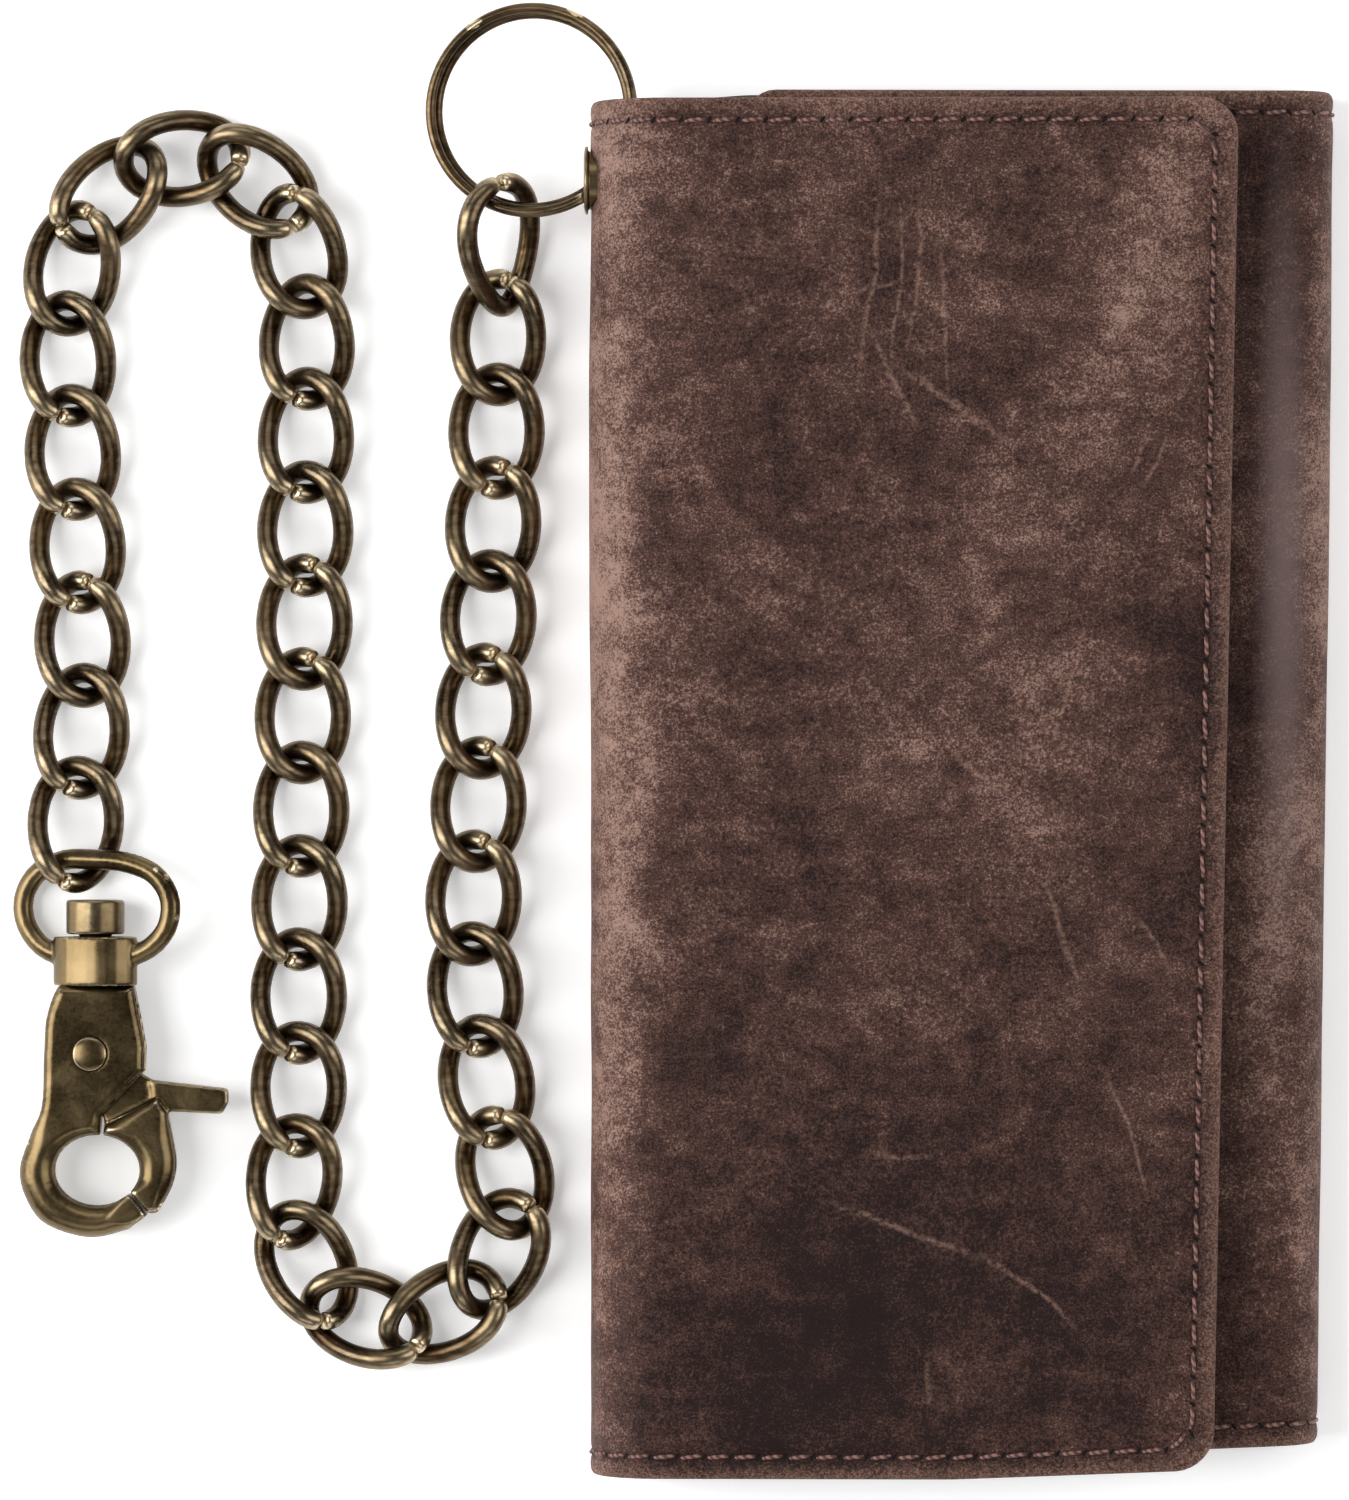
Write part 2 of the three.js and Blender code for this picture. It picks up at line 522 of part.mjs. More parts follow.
function makeHook() {
  const hook = new THREE.Group();
  hook.position.set(HOOK.x, HOOK.y, HOOK.z);
  wallet.add(hook);
  makeSwivel(hook);
  makeHookBody(hook);
  makeTrigger(hook);
  makePinAndSpring(hook);
}

makeLeather();
makeLinings();
makeSnaps();
makeZip();
makeEyelet();
makeKeyRing();
makeChain();
makeHook();

export default wallet;
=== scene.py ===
"""Chain wallet: looks.

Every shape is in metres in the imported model's frame. The sizes below are in millimetres and degrees.
"""
import math
import random

import bmesh
import bpy
from mathutils import Matrix, Vector, kdtree, noise


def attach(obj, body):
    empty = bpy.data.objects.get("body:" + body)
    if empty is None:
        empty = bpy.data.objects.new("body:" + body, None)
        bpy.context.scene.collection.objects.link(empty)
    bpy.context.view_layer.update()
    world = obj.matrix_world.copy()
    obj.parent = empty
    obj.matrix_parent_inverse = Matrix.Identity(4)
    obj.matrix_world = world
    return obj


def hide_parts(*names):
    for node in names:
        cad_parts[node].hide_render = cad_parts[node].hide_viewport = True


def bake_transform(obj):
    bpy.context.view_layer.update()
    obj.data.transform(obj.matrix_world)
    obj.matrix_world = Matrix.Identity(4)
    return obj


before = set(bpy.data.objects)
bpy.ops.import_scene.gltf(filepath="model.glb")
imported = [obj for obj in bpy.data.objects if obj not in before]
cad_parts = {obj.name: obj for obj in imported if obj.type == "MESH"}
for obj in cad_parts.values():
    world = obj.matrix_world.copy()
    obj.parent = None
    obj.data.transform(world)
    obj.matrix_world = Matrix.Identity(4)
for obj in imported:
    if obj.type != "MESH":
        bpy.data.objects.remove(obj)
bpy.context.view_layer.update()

MM = 0.001
random.seed(12)

# The camera looks straight down.
CAMERA = dict(x=-39.3, y=3.8, z=1208.0, focal=208.0, sensor=36.0)
camera = bpy.data.objects.new("camera", bpy.data.cameras.new("camera"))
camera.location = (CAMERA["x"] * MM, CAMERA["y"] * MM, CAMERA["z"] * MM)
camera.data.sensor_fit = "VERTICAL"
camera.data.sensor_height = CAMERA["sensor"]
camera.data.lens = CAMERA["focal"]
camera.data.clip_start = 0.01
camera.data.clip_end = 20.0
bpy.context.scene.collection.objects.link(camera)
bpy.context.scene.camera = camera

# ---------- sizes ----------
# These are the CAD's own, but the ring and the joining link are drawn a little wider than the CAD ones.
WALLET_LEFT = -51.1
WALLET_RIGHT = 51.1
WALLET_TOP = 93.3
WALLET_BOTTOM = -96.2
LEATHER = 1.6
LEFT_FOLD_RADIUS = 10.0
RIGHT_FOLD_RADIUS = 6.25
FLAP_EDGE = 36.4
FLAP_CORNER = 5.4
INNER_EDGE = -29.6
INNER_CORNER = 4.0
# The wallet is a little out of square. Top and bottom say how far those edges stand above their plain
# places, as (x, rise) points with straight runs between them.
BACK_SKEW = dict(
    taper=1.1,
    top=((WALLET_LEFT, 0), (INNER_EDGE, 1.7), (WALLET_RIGHT, 1.55)),
    bottom=((WALLET_LEFT, 0), (WALLET_RIGHT, 4.1)),
)
FLAP_SKEW = dict(
    taper=2.05,
    top=((WALLET_LEFT, 0), (WALLET_RIGHT, 0.2)),
    bottom=((WALLET_LEFT, 0), (0, -0.1), (FLAP_EDGE, 1.2)),
)
BACK_JOIN_LEFT = -37.0        # where the folded pieces meet the flat back, underneath
BACK_JOIN_RIGHT = 42.0

SEAM_INSET = 3.1
STITCH_PITCH = 3.8
SEAM_CORNER = 8.0             # the part of a corner in which a seam's own coordinate turns
SEAM_RADIUS = SEAM_CORNER - SEAM_INSET
SEAM_TURN = (math.pi / 2) * SEAM_RADIUS

WIRE = 1.5
WIRE_SHARE = 0.962            # the links are drawn a little thinner, so that their small bends swing clear
# Each link is cut at an angle round its curve, and the cut stands open by a small angle.
LINK = dict(half_width=5.3, half_length=8.15, twist=1.98, flare=0.0, cut_at=72, gap=6)
LINK_REACH = 6.5
TURN_LOSS = 0.65 / 50
CHAIN_START = (-63.7, 67.6)
# Runs of links: how many, heading from straight down, roll and pitch, in degrees.
CHAIN_COURSE = (
    (2, -1, 0, 0), (5, -3, 0, 0), (1, 5, 0, 0), (1, 9, 0, 0), (1, 14, 2, 0),
    (1, -23, 4, 0), (1, -63, 6, 0), (1, -110, -5, 0), (1, -155, -8, 0), (1, -186, -9, 0),
    (1, -180, -5, 0), (1, -180, -2, 0), (4, -181, 0, 0),
    (1, -180, 2, 0), (1, -181, 4, 0), (1, -180, 5, 0),
    (1, -169, 6, 0), (1, -130, 5, 0), (1, -84, 2, 0), (1, -44, -2, 0), (1, -9, 0, 0),
    (4, 3, 0, 0), (1, -4, 0, 0), (1, -3, 7, -2.5),
)
# Which half of each link its cut is in: s is the half nearer the ring, e is the other one.
CUT_ENDS = "sesessseesssssssssseesssesseseeesee"
JOINING_LINK = dict(half_width=5.8, half_length=9.1, twist=0.0, flare=0.32, cut_at=86, gap=9)
JOINING_PLACE = dict(x=-63.5, y=73.75, z=6.1, heading=5.5, roll=45.4, pitch=21.0)

# The ring's two turns change over at its jog, an angle round it. Its wire ends stop short of the jog.
RING = dict(
    x=-59.0, y=92.3, radius=13.45, spread=0.7, wire=0.72, pitch=1.4, tilt=9.0,
    jog=-44.0, jog_half=11.0, end_margin=3.0,
)
EYELET = dict(y=82.5, z=10.0, bore=3.3, barrel=4.0, flange=4.7)
SNAP = dict(x=30.0, y=58.0, flange=4.6, bore=2.3, post=1.8)
ZIP = {"left": -31.5, "right": -30.2, "from": 9.7, "to": 12.1, "half_length": 84.0, "tooth_pitch": 1.4}
HOOK = (-119.7, -25.5, 4.7)
PIN = dict(x=-0.6, y=-12.8, head=2.35, half_depth=3.4, dome=0.55)


# ---------- small tools ----------
def rad(degrees):
    return math.radians(degrees)


def rotation(degrees, axis):
    return Matrix.Rotation(rad(degrees), 4, axis)


def smooth_step(low, high, value):
    t = min(max((value - low) / (high - low), 0.0), 1.0)
    return t * t * (3 - 2 * t)


def make_object(name, vertices, faces, material, smooth=True):
    """A mesh object from points in millimetres."""
    mesh = bpy.data.meshes.new(name)
    mesh.from_pydata([(x * MM, y * MM, z * MM) for x, y, z in vertices], [], faces)
    mesh.update()
    if smooth:
        mesh.polygons.foreach_set("use_smooth", [True] * len(mesh.polygons))
    piece = bpy.data.objects.new(name, mesh)
    bpy.context.scene.collection.objects.link(piece)
    if material is not None:
        mesh.materials.append(material)
    return piece


def outward(piece):
    """Turns every face of a closed mesh to look outwards."""
    solid = bmesh.new()
    solid.from_mesh(piece.data)
    bmesh.ops.recalc_face_normals(solid, faces=solid.faces)
    solid.to_mesh(piece.data)
    solid.free()
    return piece


def band(first, second, count):
    """The faces between two rings of count points, given each ring's first point."""
    beside = [(m, (m + 1) % count) for m in range(count)]
    return [(first + m, first + n, second + n, second + m) for m, n in beside]


def caps(first, last, count):
    """The two end faces of a tube, given the first points of its first and last rings."""
    return [tuple(first + m for m in reversed(range(count))), tuple(last + m for m in range(count))]


def finish_piece(piece, body, slot, *nodes):
    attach(piece, body)
    if nodes:
        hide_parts(*nodes)
    return piece


# ---------- material building ----------
class Tree:
    """Short names for adding nodes to a node tree."""

    def __init__(self, tree):
        self.tree = tree

    def add(self, kind, **settings):
        node = self.tree.nodes.new(kind)
        for key, value in settings.items():
            setattr(node, key, value)
        return node

    def wire(self, socket, value):
        if isinstance(value, bpy.types.NodeSocket):
            self.tree.links.new(socket, value)
        elif value is not None:
            socket.default_value = value

    def math(self, operation, a, b=None, c=None, clamp=False):
        node = self.add("ShaderNodeMath", operation=operation, use_clamp=clamp)
        for socket, value in zip(node.inputs, (a, b, c)):
            self.wire(socket, value)
        return node.outputs[0]

    def vector_math(self, operation, a, b=None, scale=None):
        node = self.add("ShaderNodeVectorMath", operation=operation)
        self.wire(node.inputs[0], a)
        self.wire(node.inputs[1], b)
        if scale is not None:
            self.wire(node.inputs["Scale"], scale)
        return node.outputs["Value" if operation in ("DOT_PRODUCT", "LENGTH") else "Vector"]


class Nodes(Tree):
    """A new material, with short names for its usual nodes."""

    def __init__(self, name):
        self.material = bpy.data.materials.new(name)
        self.material.use_nodes = True
        super().__init__(self.material.node_tree)
        self.shader = self.tree.nodes["Principled BSDF"]

    def sway(self, total, noise, amount):
        """A total moved up and down by noise that is about 0.5."""
        return self.math("MULTIPLY_ADD", self.math("SUBTRACT", noise, 0.5), amount, total)

    def noise(self, coordinates, scale, detail=4.0, roughness=0.55, distortion=0.0):
        node = self.add("ShaderNodeTexNoise")
        self.wire(node.inputs["Vector"], coordinates)
        node.inputs["Scale"].default_value = scale
        node.inputs["Detail"].default_value = detail
        node.inputs["Roughness"].default_value = roughness
        node.inputs["Distortion"].default_value = distortion
        return node.outputs["Fac"]

    def ramp(self, value, low, high, out_low=0.0, out_high=1.0):
        node = self.add("ShaderNodeMapRange", interpolation_type="SMOOTHSTEP")
        for socket, number in zip(node.inputs, (value, low, high, out_low, out_high)):
            self.wire(socket, number)
        return node.outputs[0]

    def mix(self, share, a, b):
        node = self.add("ShaderNodeMix", data_type="RGBA")
        self.wire(node.inputs["Factor"], share)
        self.wire(node.inputs["A"], a)
        self.wire(node.inputs["B"], b)
        return node.outputs["Result"]

    def stretched(self, coordinates, x=1.0, y=1.0, z=1.0, turn=0.0):
        node = self.add("ShaderNodeMapping")
        self.wire(node.inputs["Vector"], coordinates)
        node.inputs["Rotation"].default_value = (0, 0, rad(turn))
        node.inputs["Scale"].default_value = (x, y, z)
        return node.outputs["Vector"]

    def attribute(self, name):
        return self.add("ShaderNodeAttribute", attribute_name=name).outputs["Fac"]

    def bump(self, height, strength, distance, before=None):
        node = self.add("ShaderNodeBump")
        node.inputs["Strength"].default_value = strength
        node.inputs["Distance"].default_value = distance
        self.wire(node.inputs["Height"], height)
        self.wire(node.inputs["Normal"], before)
        return node.outputs["Normal"]

    def object_coordinates(self):
        return self.add("ShaderNodeTexCoord").outputs["Object"]

    def set(self, **inputs):
        for name, value in inputs.items():
            self.wire(self.shader.inputs[name.replace("_", " ")], value)
        return self.material


def colour(red, green, blue):
    """A colour read off as 0 to 255 on a screen, as the linear values that a shader takes."""
    def linear(value):
        value /= 255
        return value / 12.92 if value <= 0.04045 else ((value + 0.055) / 1.055) ** 2.4
    return (linear(red), linear(green), linear(blue), 1.0)


# ---------- leather materials ----------
def mark_group(name, vectors, numbers=()):
    """A new node group with one output, Mark: its tree, its input sockets and the socket that Mark takes."""
    group = bpy.data.node_groups.new(name, "ShaderNodeTree")
    for label in vectors:
        group.interface.new_socket(label, in_out="INPUT", socket_type="NodeSocketVector")
    for label in numbers:
        group.interface.new_socket(label, in_out="INPUT", socket_type="NodeSocketFloat")
    group.interface.new_socket("Mark", in_out="OUTPUT", socket_type="NodeSocketFloat")
    n = Tree(group)
    return n, n.add("NodeGroupInput").outputs, n.add("NodeGroupOutput").inputs["Mark"]


def scratch_group():
    """How close a point is to a line between two places, from 1 on it to 0 beside it, faded at its ends."""
    n, given, mark = mark_group("scratch", ("Point", "Start", "End"), ("Width",))
    along = n.vector_math("SUBTRACT", given["End"], given["Start"])
    reach = n.vector_math("SUBTRACT", given["Point"], given["Start"])
    ahead = n.vector_math("DOT_PRODUCT", reach, along)
    share = n.math("DIVIDE", ahead, n.vector_math("DOT_PRODUCT", along, along), clamp=True)
    off_line = n.vector_math("SUBTRACT", reach, n.vector_math("SCALE", along, scale=share))
    widths_off = n.math("DIVIDE", n.vector_math("LENGTH", off_line), given["Width"])
    nearness = n.math("SUBTRACT", 1.0, widths_off, clamp=True)
    ends = n.math("MULTIPLY", share, n.math("SUBTRACT", 1.0, share))
    fade = n.math("MULTIPLY", ends, 5.0, clamp=True)
    n.wire(mark, n.math("MULTIPLY", nearness, fade, clamp=True))
    return n.tree


def patch_group():
    """How near a point is to the middle of an oval, from 1 in the middle to 0 at its rim."""
    n, given, mark = mark_group("patch", ("Point", "Centre", "Size"))
    off_centre = n.vector_math("SUBTRACT", given["Point"], given["Centre"])
    radii_off = n.vector_math("LENGTH", n.vector_math("DIVIDE", off_centre, given["Size"]))
    fade = n.add("ShaderNodeMapRange", interpolation_type="SMOOTHSTEP")
    fade.inputs["From Min"].default_value = 1.0
    fade.inputs["From Max"].default_value = 0.0
    n.wire(fade.inputs["Value"], radii_off)
    n.wire(mark, fade.outputs["Result"])
    return n.tree


# Scratches on the front of the wallet: start, end (x and y in the frame) and width, in millimetres.
SCRATCHES = (
    ((-10.8, 81.0), (-14.5, 52.0), 0.5), ((-8.0, 78.0), (-9.5, 55.0), 0.4), ((-4.8, 80.5), (-7.2, 58.0), 0.5),
    ((-3.0, 74.0), (-1.8, 52.0), 0.4), ((-12.5, 62.0), (-6.0, 47.0), 0.6), ((-9.5, 57.0), (7.8, 45.0), 0.8),
    ((-16.0, 66.0), (-9.0, 68.5), 0.4), ((25.5, 48.0), (23.0, 41.0), 0.4), ((28.5, 47.5), (24.5, 39.0), 0.4),
    ((-11.3, -51.6), (-3.5, -52.4), 0.5), ((-4.5, -80.0), (-4.2, -86.5), 0.5),
    ((11.0, -14.0), (17.0, -30.0), 0.5),
    ((24.0, -19.0), (29.0, -27.0), 0.5), ((20.0, -40.0), (26.0, -58.0), 0.4), ((-2.0, 4.0), (6.0, -3.0), 0.5),
    ((-20.0, -58.0), (4.0, -66.0), 0.6), ((2.0, -64.0), (16.0, -76.0), 0.5), ((16.0, 20.0), (12.0, 2.0), 0.4),
)
SCRATCH_WANDER = 3.0

# Large patches of the front, lighter (+) or darker (-): centre (x, y), half-size (x, y) and amount. The last
# three, long strips down the left and right folds, are painted sheen.
PATCHES = (
    (30.0, 80.0, 16.0, 44.0, 0.36), (4.0, 8.0, 36.0, 42.0, 0.26), (18.0, -8.0, 22.0, 34.0, 0.06),
    (-5.0, 86.0, 56.0, 14.0, 0.10), (-10.0, -78.0, 76.0, 62.0, -0.40), (31.0, -80.0, 10.0, 20.0, 0.20),
    (11.0, 57.0, 14.0, 15.0, -0.16), (-22.0, 42.0, 16.0, 20.0, -0.12), (-26.0, -20.0, 14.0, 22.0, -0.14),
    (-43.0, 84.0, 14.0, 16.0, 0.14), (-8.0, 66.0, 16.0, 12.0, 0.08), (14.0, 26.0, 10.0, 9.0, -0.08),
    (-42.0, 10.0, 13.0, 130.0, 0.22), (-49.0, 10.0, 10.0, 130.0, 0.30), (46.5, -10.0, 9.0, 120.0, 0.30),
)
PATCH_WANDER = 22.0

# A painted grey sheen on the leather where it bends over the right fold.
PAINTED_FOLD_SHEEN = dict(x=44.6, y=30.0, half_width=5.0, half_height=72.0, amount=0.75, colour=colour(114, 97, 95))


def wandering(n, place, scale, reach):
    """The point pushed about by soft noise, and flattened to X and Y, so that marks on it aren't straight."""
    wander = n.add("ShaderNodeTexNoise")
    wander.inputs["Scale"].default_value = scale
    n.wire(wander.inputs["Vector"], place)
    shift = n.add("ShaderNodeVectorMath", operation="MULTIPLY_ADD")
    n.wire(shift.inputs[0], wander.outputs["Color"])
    shift.inputs[1].default_value = (reach * MM, reach * MM, 0.0)
    n.wire(shift.inputs[2], n.stretched(place, 1, 1, 0))
    return shift.outputs[0]


def place_mark(n, group, point, **sizes):
    """One use of a mark group at a point, with its other inputs given as numbers."""
    mark = n.add("ShaderNodeGroup", node_tree=group)
    n.wire(mark.inputs["Point"], point)
    for label, value in sizes.items():
        mark.inputs[label].default_value = value
    return mark.outputs[0]


def wandered(x, y, wander):
    """A flat place moved by the middle of a wander, so that its mark stays about where it is meant."""
    return (x + wander / 2) * MM, (y + wander / 2) * MM, 0


def patches_of(n, place):
    """The large patches added up."""
    group = patch_group()
    point = wandering(n, place, 28, PATCH_WANDER)
    total = 0.0
    for x, y, half_width, half_height, amount in PATCHES:
        size = (half_width * MM, half_height * MM, 1)
        mark = place_mark(n, group, point, Centre=wandered(x, y, PATCH_WANDER), Size=size)
        total = n.math("MULTIPLY_ADD", mark, amount, total)
    return total


def scratches_of(n, place):
    """The scratches, as the nearest one's mark."""
    group = scratch_group()
    point = wandering(n, place, 90, SCRATCH_WANDER)
    nearest = 0.0
    for start, end, width in SCRATCHES:
        ends = [wandered(*spot, SCRATCH_WANDER) for spot in (start, end)]
        mark = place_mark(n, group, point, Start=ends[0], End=ends[1], Width=width * MM)
        nearest = n.math("MAXIMUM", nearest, mark)
    return nearest


def leather_tone(n, place, grains):
    """How light the leather is: about 0 where it is dark and 1 where it is rubbed light, with painted sheen
    laid over the folds.
    """
    clouds = n.noise(place, 22, 6, 0.62, 0.6)
    patches = n.noise(n.stretched(place, 1.0, 0.75, 1.0, 20), 75, 8, 0.72, 0.6)
    islands = n.noise(n.stretched(place, 0.8, 1.2, 1.0, -15), 260, 7, 0.72, 0.4)
    smears = n.noise(n.stretched(place, 0.30, 1.7, 1.0, -28), 110, 5, 0.65)
    tone = n.sway(0.32, clouds, 0.9)
    tone = n.sway(tone, patches, 1.5)
    tone = n.sway(tone, islands, 1.4)
    tone = n.sway(tone, smears, 0.55)
    tone = n.math("ADD", tone, patches_of(n, place))
    # Painted sheen: the leather is made lighter round the folds, by how far round a fold each point is.
    fold = n.sway(n.attribute("fold"), patches, 0.5)
    tone = n.math("MULTIPLY_ADD", n.ramp(fold, 0.0, 1.0), 0.35, tone)
    return n.math("MULTIPLY_ADD", grains, 1.25, tone)


def seam_marks(n):
    """The seam's shallow groove, and the needle hole at the end of every stitch: the masks where the leather
    is painted with shade.
    """
    off_seam = n.math("SUBTRACT", n.attribute("edge"), SEAM_INSET)
    seam = n.attribute("seam")
    sewn = n.ramp(seam, -1.0, 0.0)
    groove = n.math("MULTIPLY", n.ramp(n.math("ABSOLUTE", off_seam), 0.9, 0.0), sewn)
    step = n.math("DIVIDE", seam, STITCH_PITCH)
    to_hole = n.math("MULTIPLY", n.math("SUBTRACT", step, n.math("ROUND", step)), STITCH_PITCH)
    slant = n.math("MULTIPLY_ADD", off_seam, 0.55, to_hole)
    along = n.math("POWER", n.math("DIVIDE", slant, 0.28), 2.0)
    across = n.math("POWER", n.math("DIVIDE", off_seam, 0.48), 2.0)
    hole = n.math("MULTIPLY", n.ramp(n.math("ADD", along, across), 1.25, 0.55), sewn)
    return groove, hole


def leather_material(name, dark, middle, light, edge):
    """Waxed, pulled-up leather: dark patches, lighter rubbed ones, a speckled nap and paler worn edges, with
    painted sheen on the folds and painted shade in the seam groove and needle holes.
    """
    n = Nodes(name)
    place = n.object_coordinates()
    coarse = n.noise(place, 1300, 5, 0.75)
    grains = n.math("ADD", n.math("MULTIPLY", n.math("SUBTRACT", n.noise(place, 3200, 3, 0.8), 0.5), 2.4),
                    n.math("MULTIPLY", n.math("SUBTRACT", coarse, 0.5), 1.0))
    tone = leather_tone(n, place, grains)
    body = n.mix(n.ramp(tone, -0.25, 0.6), dark, middle)
    body = n.mix(n.ramp(tone, 0.45, 1.3), body, light)

    # Painted sheen over the right fold.
    size = (PAINTED_FOLD_SHEEN["half_width"] * MM, PAINTED_FOLD_SHEEN["half_height"] * MM, 1)
    painted_sheen_mark = place_mark(n, patch_group(), place, Centre=(PAINTED_FOLD_SHEEN["x"] * MM, PAINTED_FOLD_SHEEN["y"] * MM, 0), Size=size)
    body = n.mix(n.math("MULTIPLY", painted_sheen_mark, PAINTED_FOLD_SHEEN["amount"]), body, PAINTED_FOLD_SHEEN["colour"])

    ragged = n.math("MULTIPLY_ADD", n.noise(place, 60, 3), 2.4, n.attribute("edge"))
    ragged = n.math("MULTIPLY_ADD", grains, -1.1, ragged)
    worn = n.ramp(ragged, 3.8, 1.0)
    nap = n.mix(n.ramp(grains, -0.35, 0.45), middle, edge)
    body = n.mix(n.math("MULTIPLY", worn, 0.62), body, nap)
    broken = n.math("MULTIPLY", scratches_of(n, place), n.ramp(coarse, 0.35, 0.6))
    body = n.mix(n.math("MULTIPLY", broken, 0.5), body, edge)

    groove, hole = seam_marks(n)
    # Painted shade: the seam groove is darkened and each needle hole is painted near black.
    body = n.mix(n.math("MULTIPLY", groove, 0.35), body, dark)
    body = n.mix(hole, body, NEEDLE_HOLE_SHADE)
    height = n.math("SUBTRACT", grains, n.math("MULTIPLY", hole, 3.0))
    normal = n.bump(height, 0.35, 0.00022)
    normal = n.bump(n.noise(place, 300, 5, 0.6), 0.25, 0.0008, normal)
    n.set(Base_Color=body, Roughness=n.ramp(tone, 0.0, 1.0, 0.48, 0.64), Normal=normal)
    n.shader.inputs["Specular IOR Level"].default_value = 0.13
    return n.material


def lining_material(name, dark, light):
    """Smooth split leather with a small pebbled grain."""
    n = Nodes(name)
    place = n.object_coordinates()
    clouds = n.noise(place, 35, 5, 0.6)
    pebbles = n.add("ShaderNodeTexVoronoi", feature="SMOOTH_F1")
    n.wire(pebbles.inputs["Vector"], place)
    pebbles.inputs["Scale"].default_value = 1400
    body = n.mix(n.ramp(clouds, 0.3, 0.7), dark, light)
    worn = n.ramp(n.attribute("edge"), 1.0, 0.2)
    body = n.mix(n.math("MULTIPLY", worn, 0.5), body, light)
    normal = n.bump(pebbles.outputs["Distance"], 0.3, 0.0003)
    return n.set(Base_Color=body, Roughness=n.ramp(clouds, 0.3, 0.7, 0.5, 0.65), Normal=normal)


def thread_material(name, dark, light):
    """Twisted waxed thread: fine slanted plies."""
    n = Nodes(name)
    place = n.object_coordinates()
    plies = n.add("ShaderNodeTexWave", wave_type="BANDS", bands_direction="DIAGONAL")
    n.wire(plies.inputs["Vector"], place)
    plies.inputs["Scale"].default_value = 520
    plies.inputs["Distortion"].default_value = 1.0
    body = n.mix(n.ramp(plies.outputs["Fac"], 0.2, 0.8), dark, light)
    return n.set(Base_Color=body, Roughness=0.6, Normal=n.bump(plies.outputs["Fac"], 0.5, 0.0001))


def fabric_material(name, dark, light):
    """Woven zip tape."""
    n = Nodes(name)
    place = n.object_coordinates()
    weave = n.add("ShaderNodeTexWave", wave_type="BANDS", bands_direction="Y")
    cross = n.add("ShaderNodeTexWave", wave_type="BANDS", bands_direction="Z")
    for threads in (weave, cross):
        n.wire(threads.inputs["Vector"], place)
        threads.inputs["Scale"].default_value = 700
    height = n.math("MULTIPLY", weave.outputs["Fac"], cross.outputs["Fac"])
    body = n.mix(height, dark, light)
    return n.set(Base_Color=body, Roughness=0.85, Normal=n.bump(height, 0.6, 0.0002))


# ---------- metal materials ----------
def brass_material(name, dark, middle, bright, polish, scale=1.0):
    """Antiqued brass: a brown-black patina, rubbed back to bright metal on ridges and outer edges."""
    n = Nodes(name)
    place = n.object_coordinates()
    clouds = n.noise(place, 130 * scale, 5, 0.6, 0.5)
    pits = n.noise(place, 2400, 3, 0.6)
    lines = n.noise(n.stretched(place, 1.0, 4.0, 2.0, 25), 260, 4, 0.6)
    geometry = n.add("ShaderNodeNewGeometry")
    ridge = n.ramp(geometry.outputs["Pointiness"], 0.51, 0.60)
    tone = n.ramp(n.math("MULTIPLY_ADD", pits, 0.2, clouds), 0.38, 0.80)
    body = n.mix(tone, dark, middle)
    rubbed = n.math("MULTIPLY_ADD", lines, 0.3, n.math("MULTIPLY", ridge, 0.9))
    body = n.mix(n.ramp(rubbed, 0.15, 0.85, 0.0, polish), body, bright)
    tarnish = n.math("MULTIPLY_ADD", pits, 0.4, n.math("MULTIPLY", clouds, 0.6))
    roughness = n.ramp(tarnish, 0.3, 0.75, 0.25, 0.40)
    normal = n.bump(n.math("MULTIPLY_ADD", lines, 0.2, pits), 0.12, 0.00008)
    n.set(Base_Color=body, Roughness=roughness, Normal=normal)
    n.shader.inputs["Metallic"].default_value = 1.0
    return n.material


def steel_material(name):
    n = Nodes(name)
    drawn = n.noise(n.object_coordinates(), 2500, 3)
    body = n.mix(drawn, colour(120, 118, 112), colour(190, 188, 182))
    n.set(Base_Color=body, Roughness=n.ramp(drawn, 0.3, 0.7, 0.22, 0.4), Normal=n.bump(drawn, 0.1, 0.0001))
    n.shader.inputs["Metallic"].default_value = 1.0
    return n.material


LEATHER_DARK = colour(26, 12, 10)
LEATHER_MIDDLE = colour(77, 52, 45)
LEATHER_LIGHT = colour(153, 124, 112)
LEATHER_EDGE = colour(154, 121, 106)
NEEDLE_HOLE_SHADE = colour(14, 7, 7)
BRASS_BRIGHT = colour(246, 224, 184)
HOOK_BRIGHT = colour(240, 224, 190)
outer_leather = leather_material("outer_leather", LEATHER_DARK, LEATHER_MIDDLE, LEATHER_LIGHT, LEATHER_EDGE)
lining_leather = lining_material("lining_leather", colour(34, 23, 19), colour(66, 46, 37))
edge_paint = lining_material("edge_paint", colour(48, 33, 28), colour(84, 62, 52))
thread = thread_material("thread", colour(70, 43, 39), colour(136, 98, 88))
zip_fabric = fabric_material("zip_fabric", colour(20, 15, 13), colour(48, 38, 33))
brass = brass_material("antique_brass", colour(42, 28, 15), colour(72, 53, 31), BRASS_BRIGHT, 0.68)
hook_brass = brass_material("hook_brass", colour(74, 61, 40), colour(120, 103, 74), HOOK_BRIGHT, 0.7, 0.8)
spring_steel = steel_material("spring_steel")


# ---------- leather shapes ----------
MIDDLE_Y = (WALLET_TOP + WALLET_BOTTOM) / 2
HALF_HEIGHT = (WALLET_TOP - WALLET_BOTTOM) / 2
WIDTH = WALLET_RIGHT - WALLET_LEFT


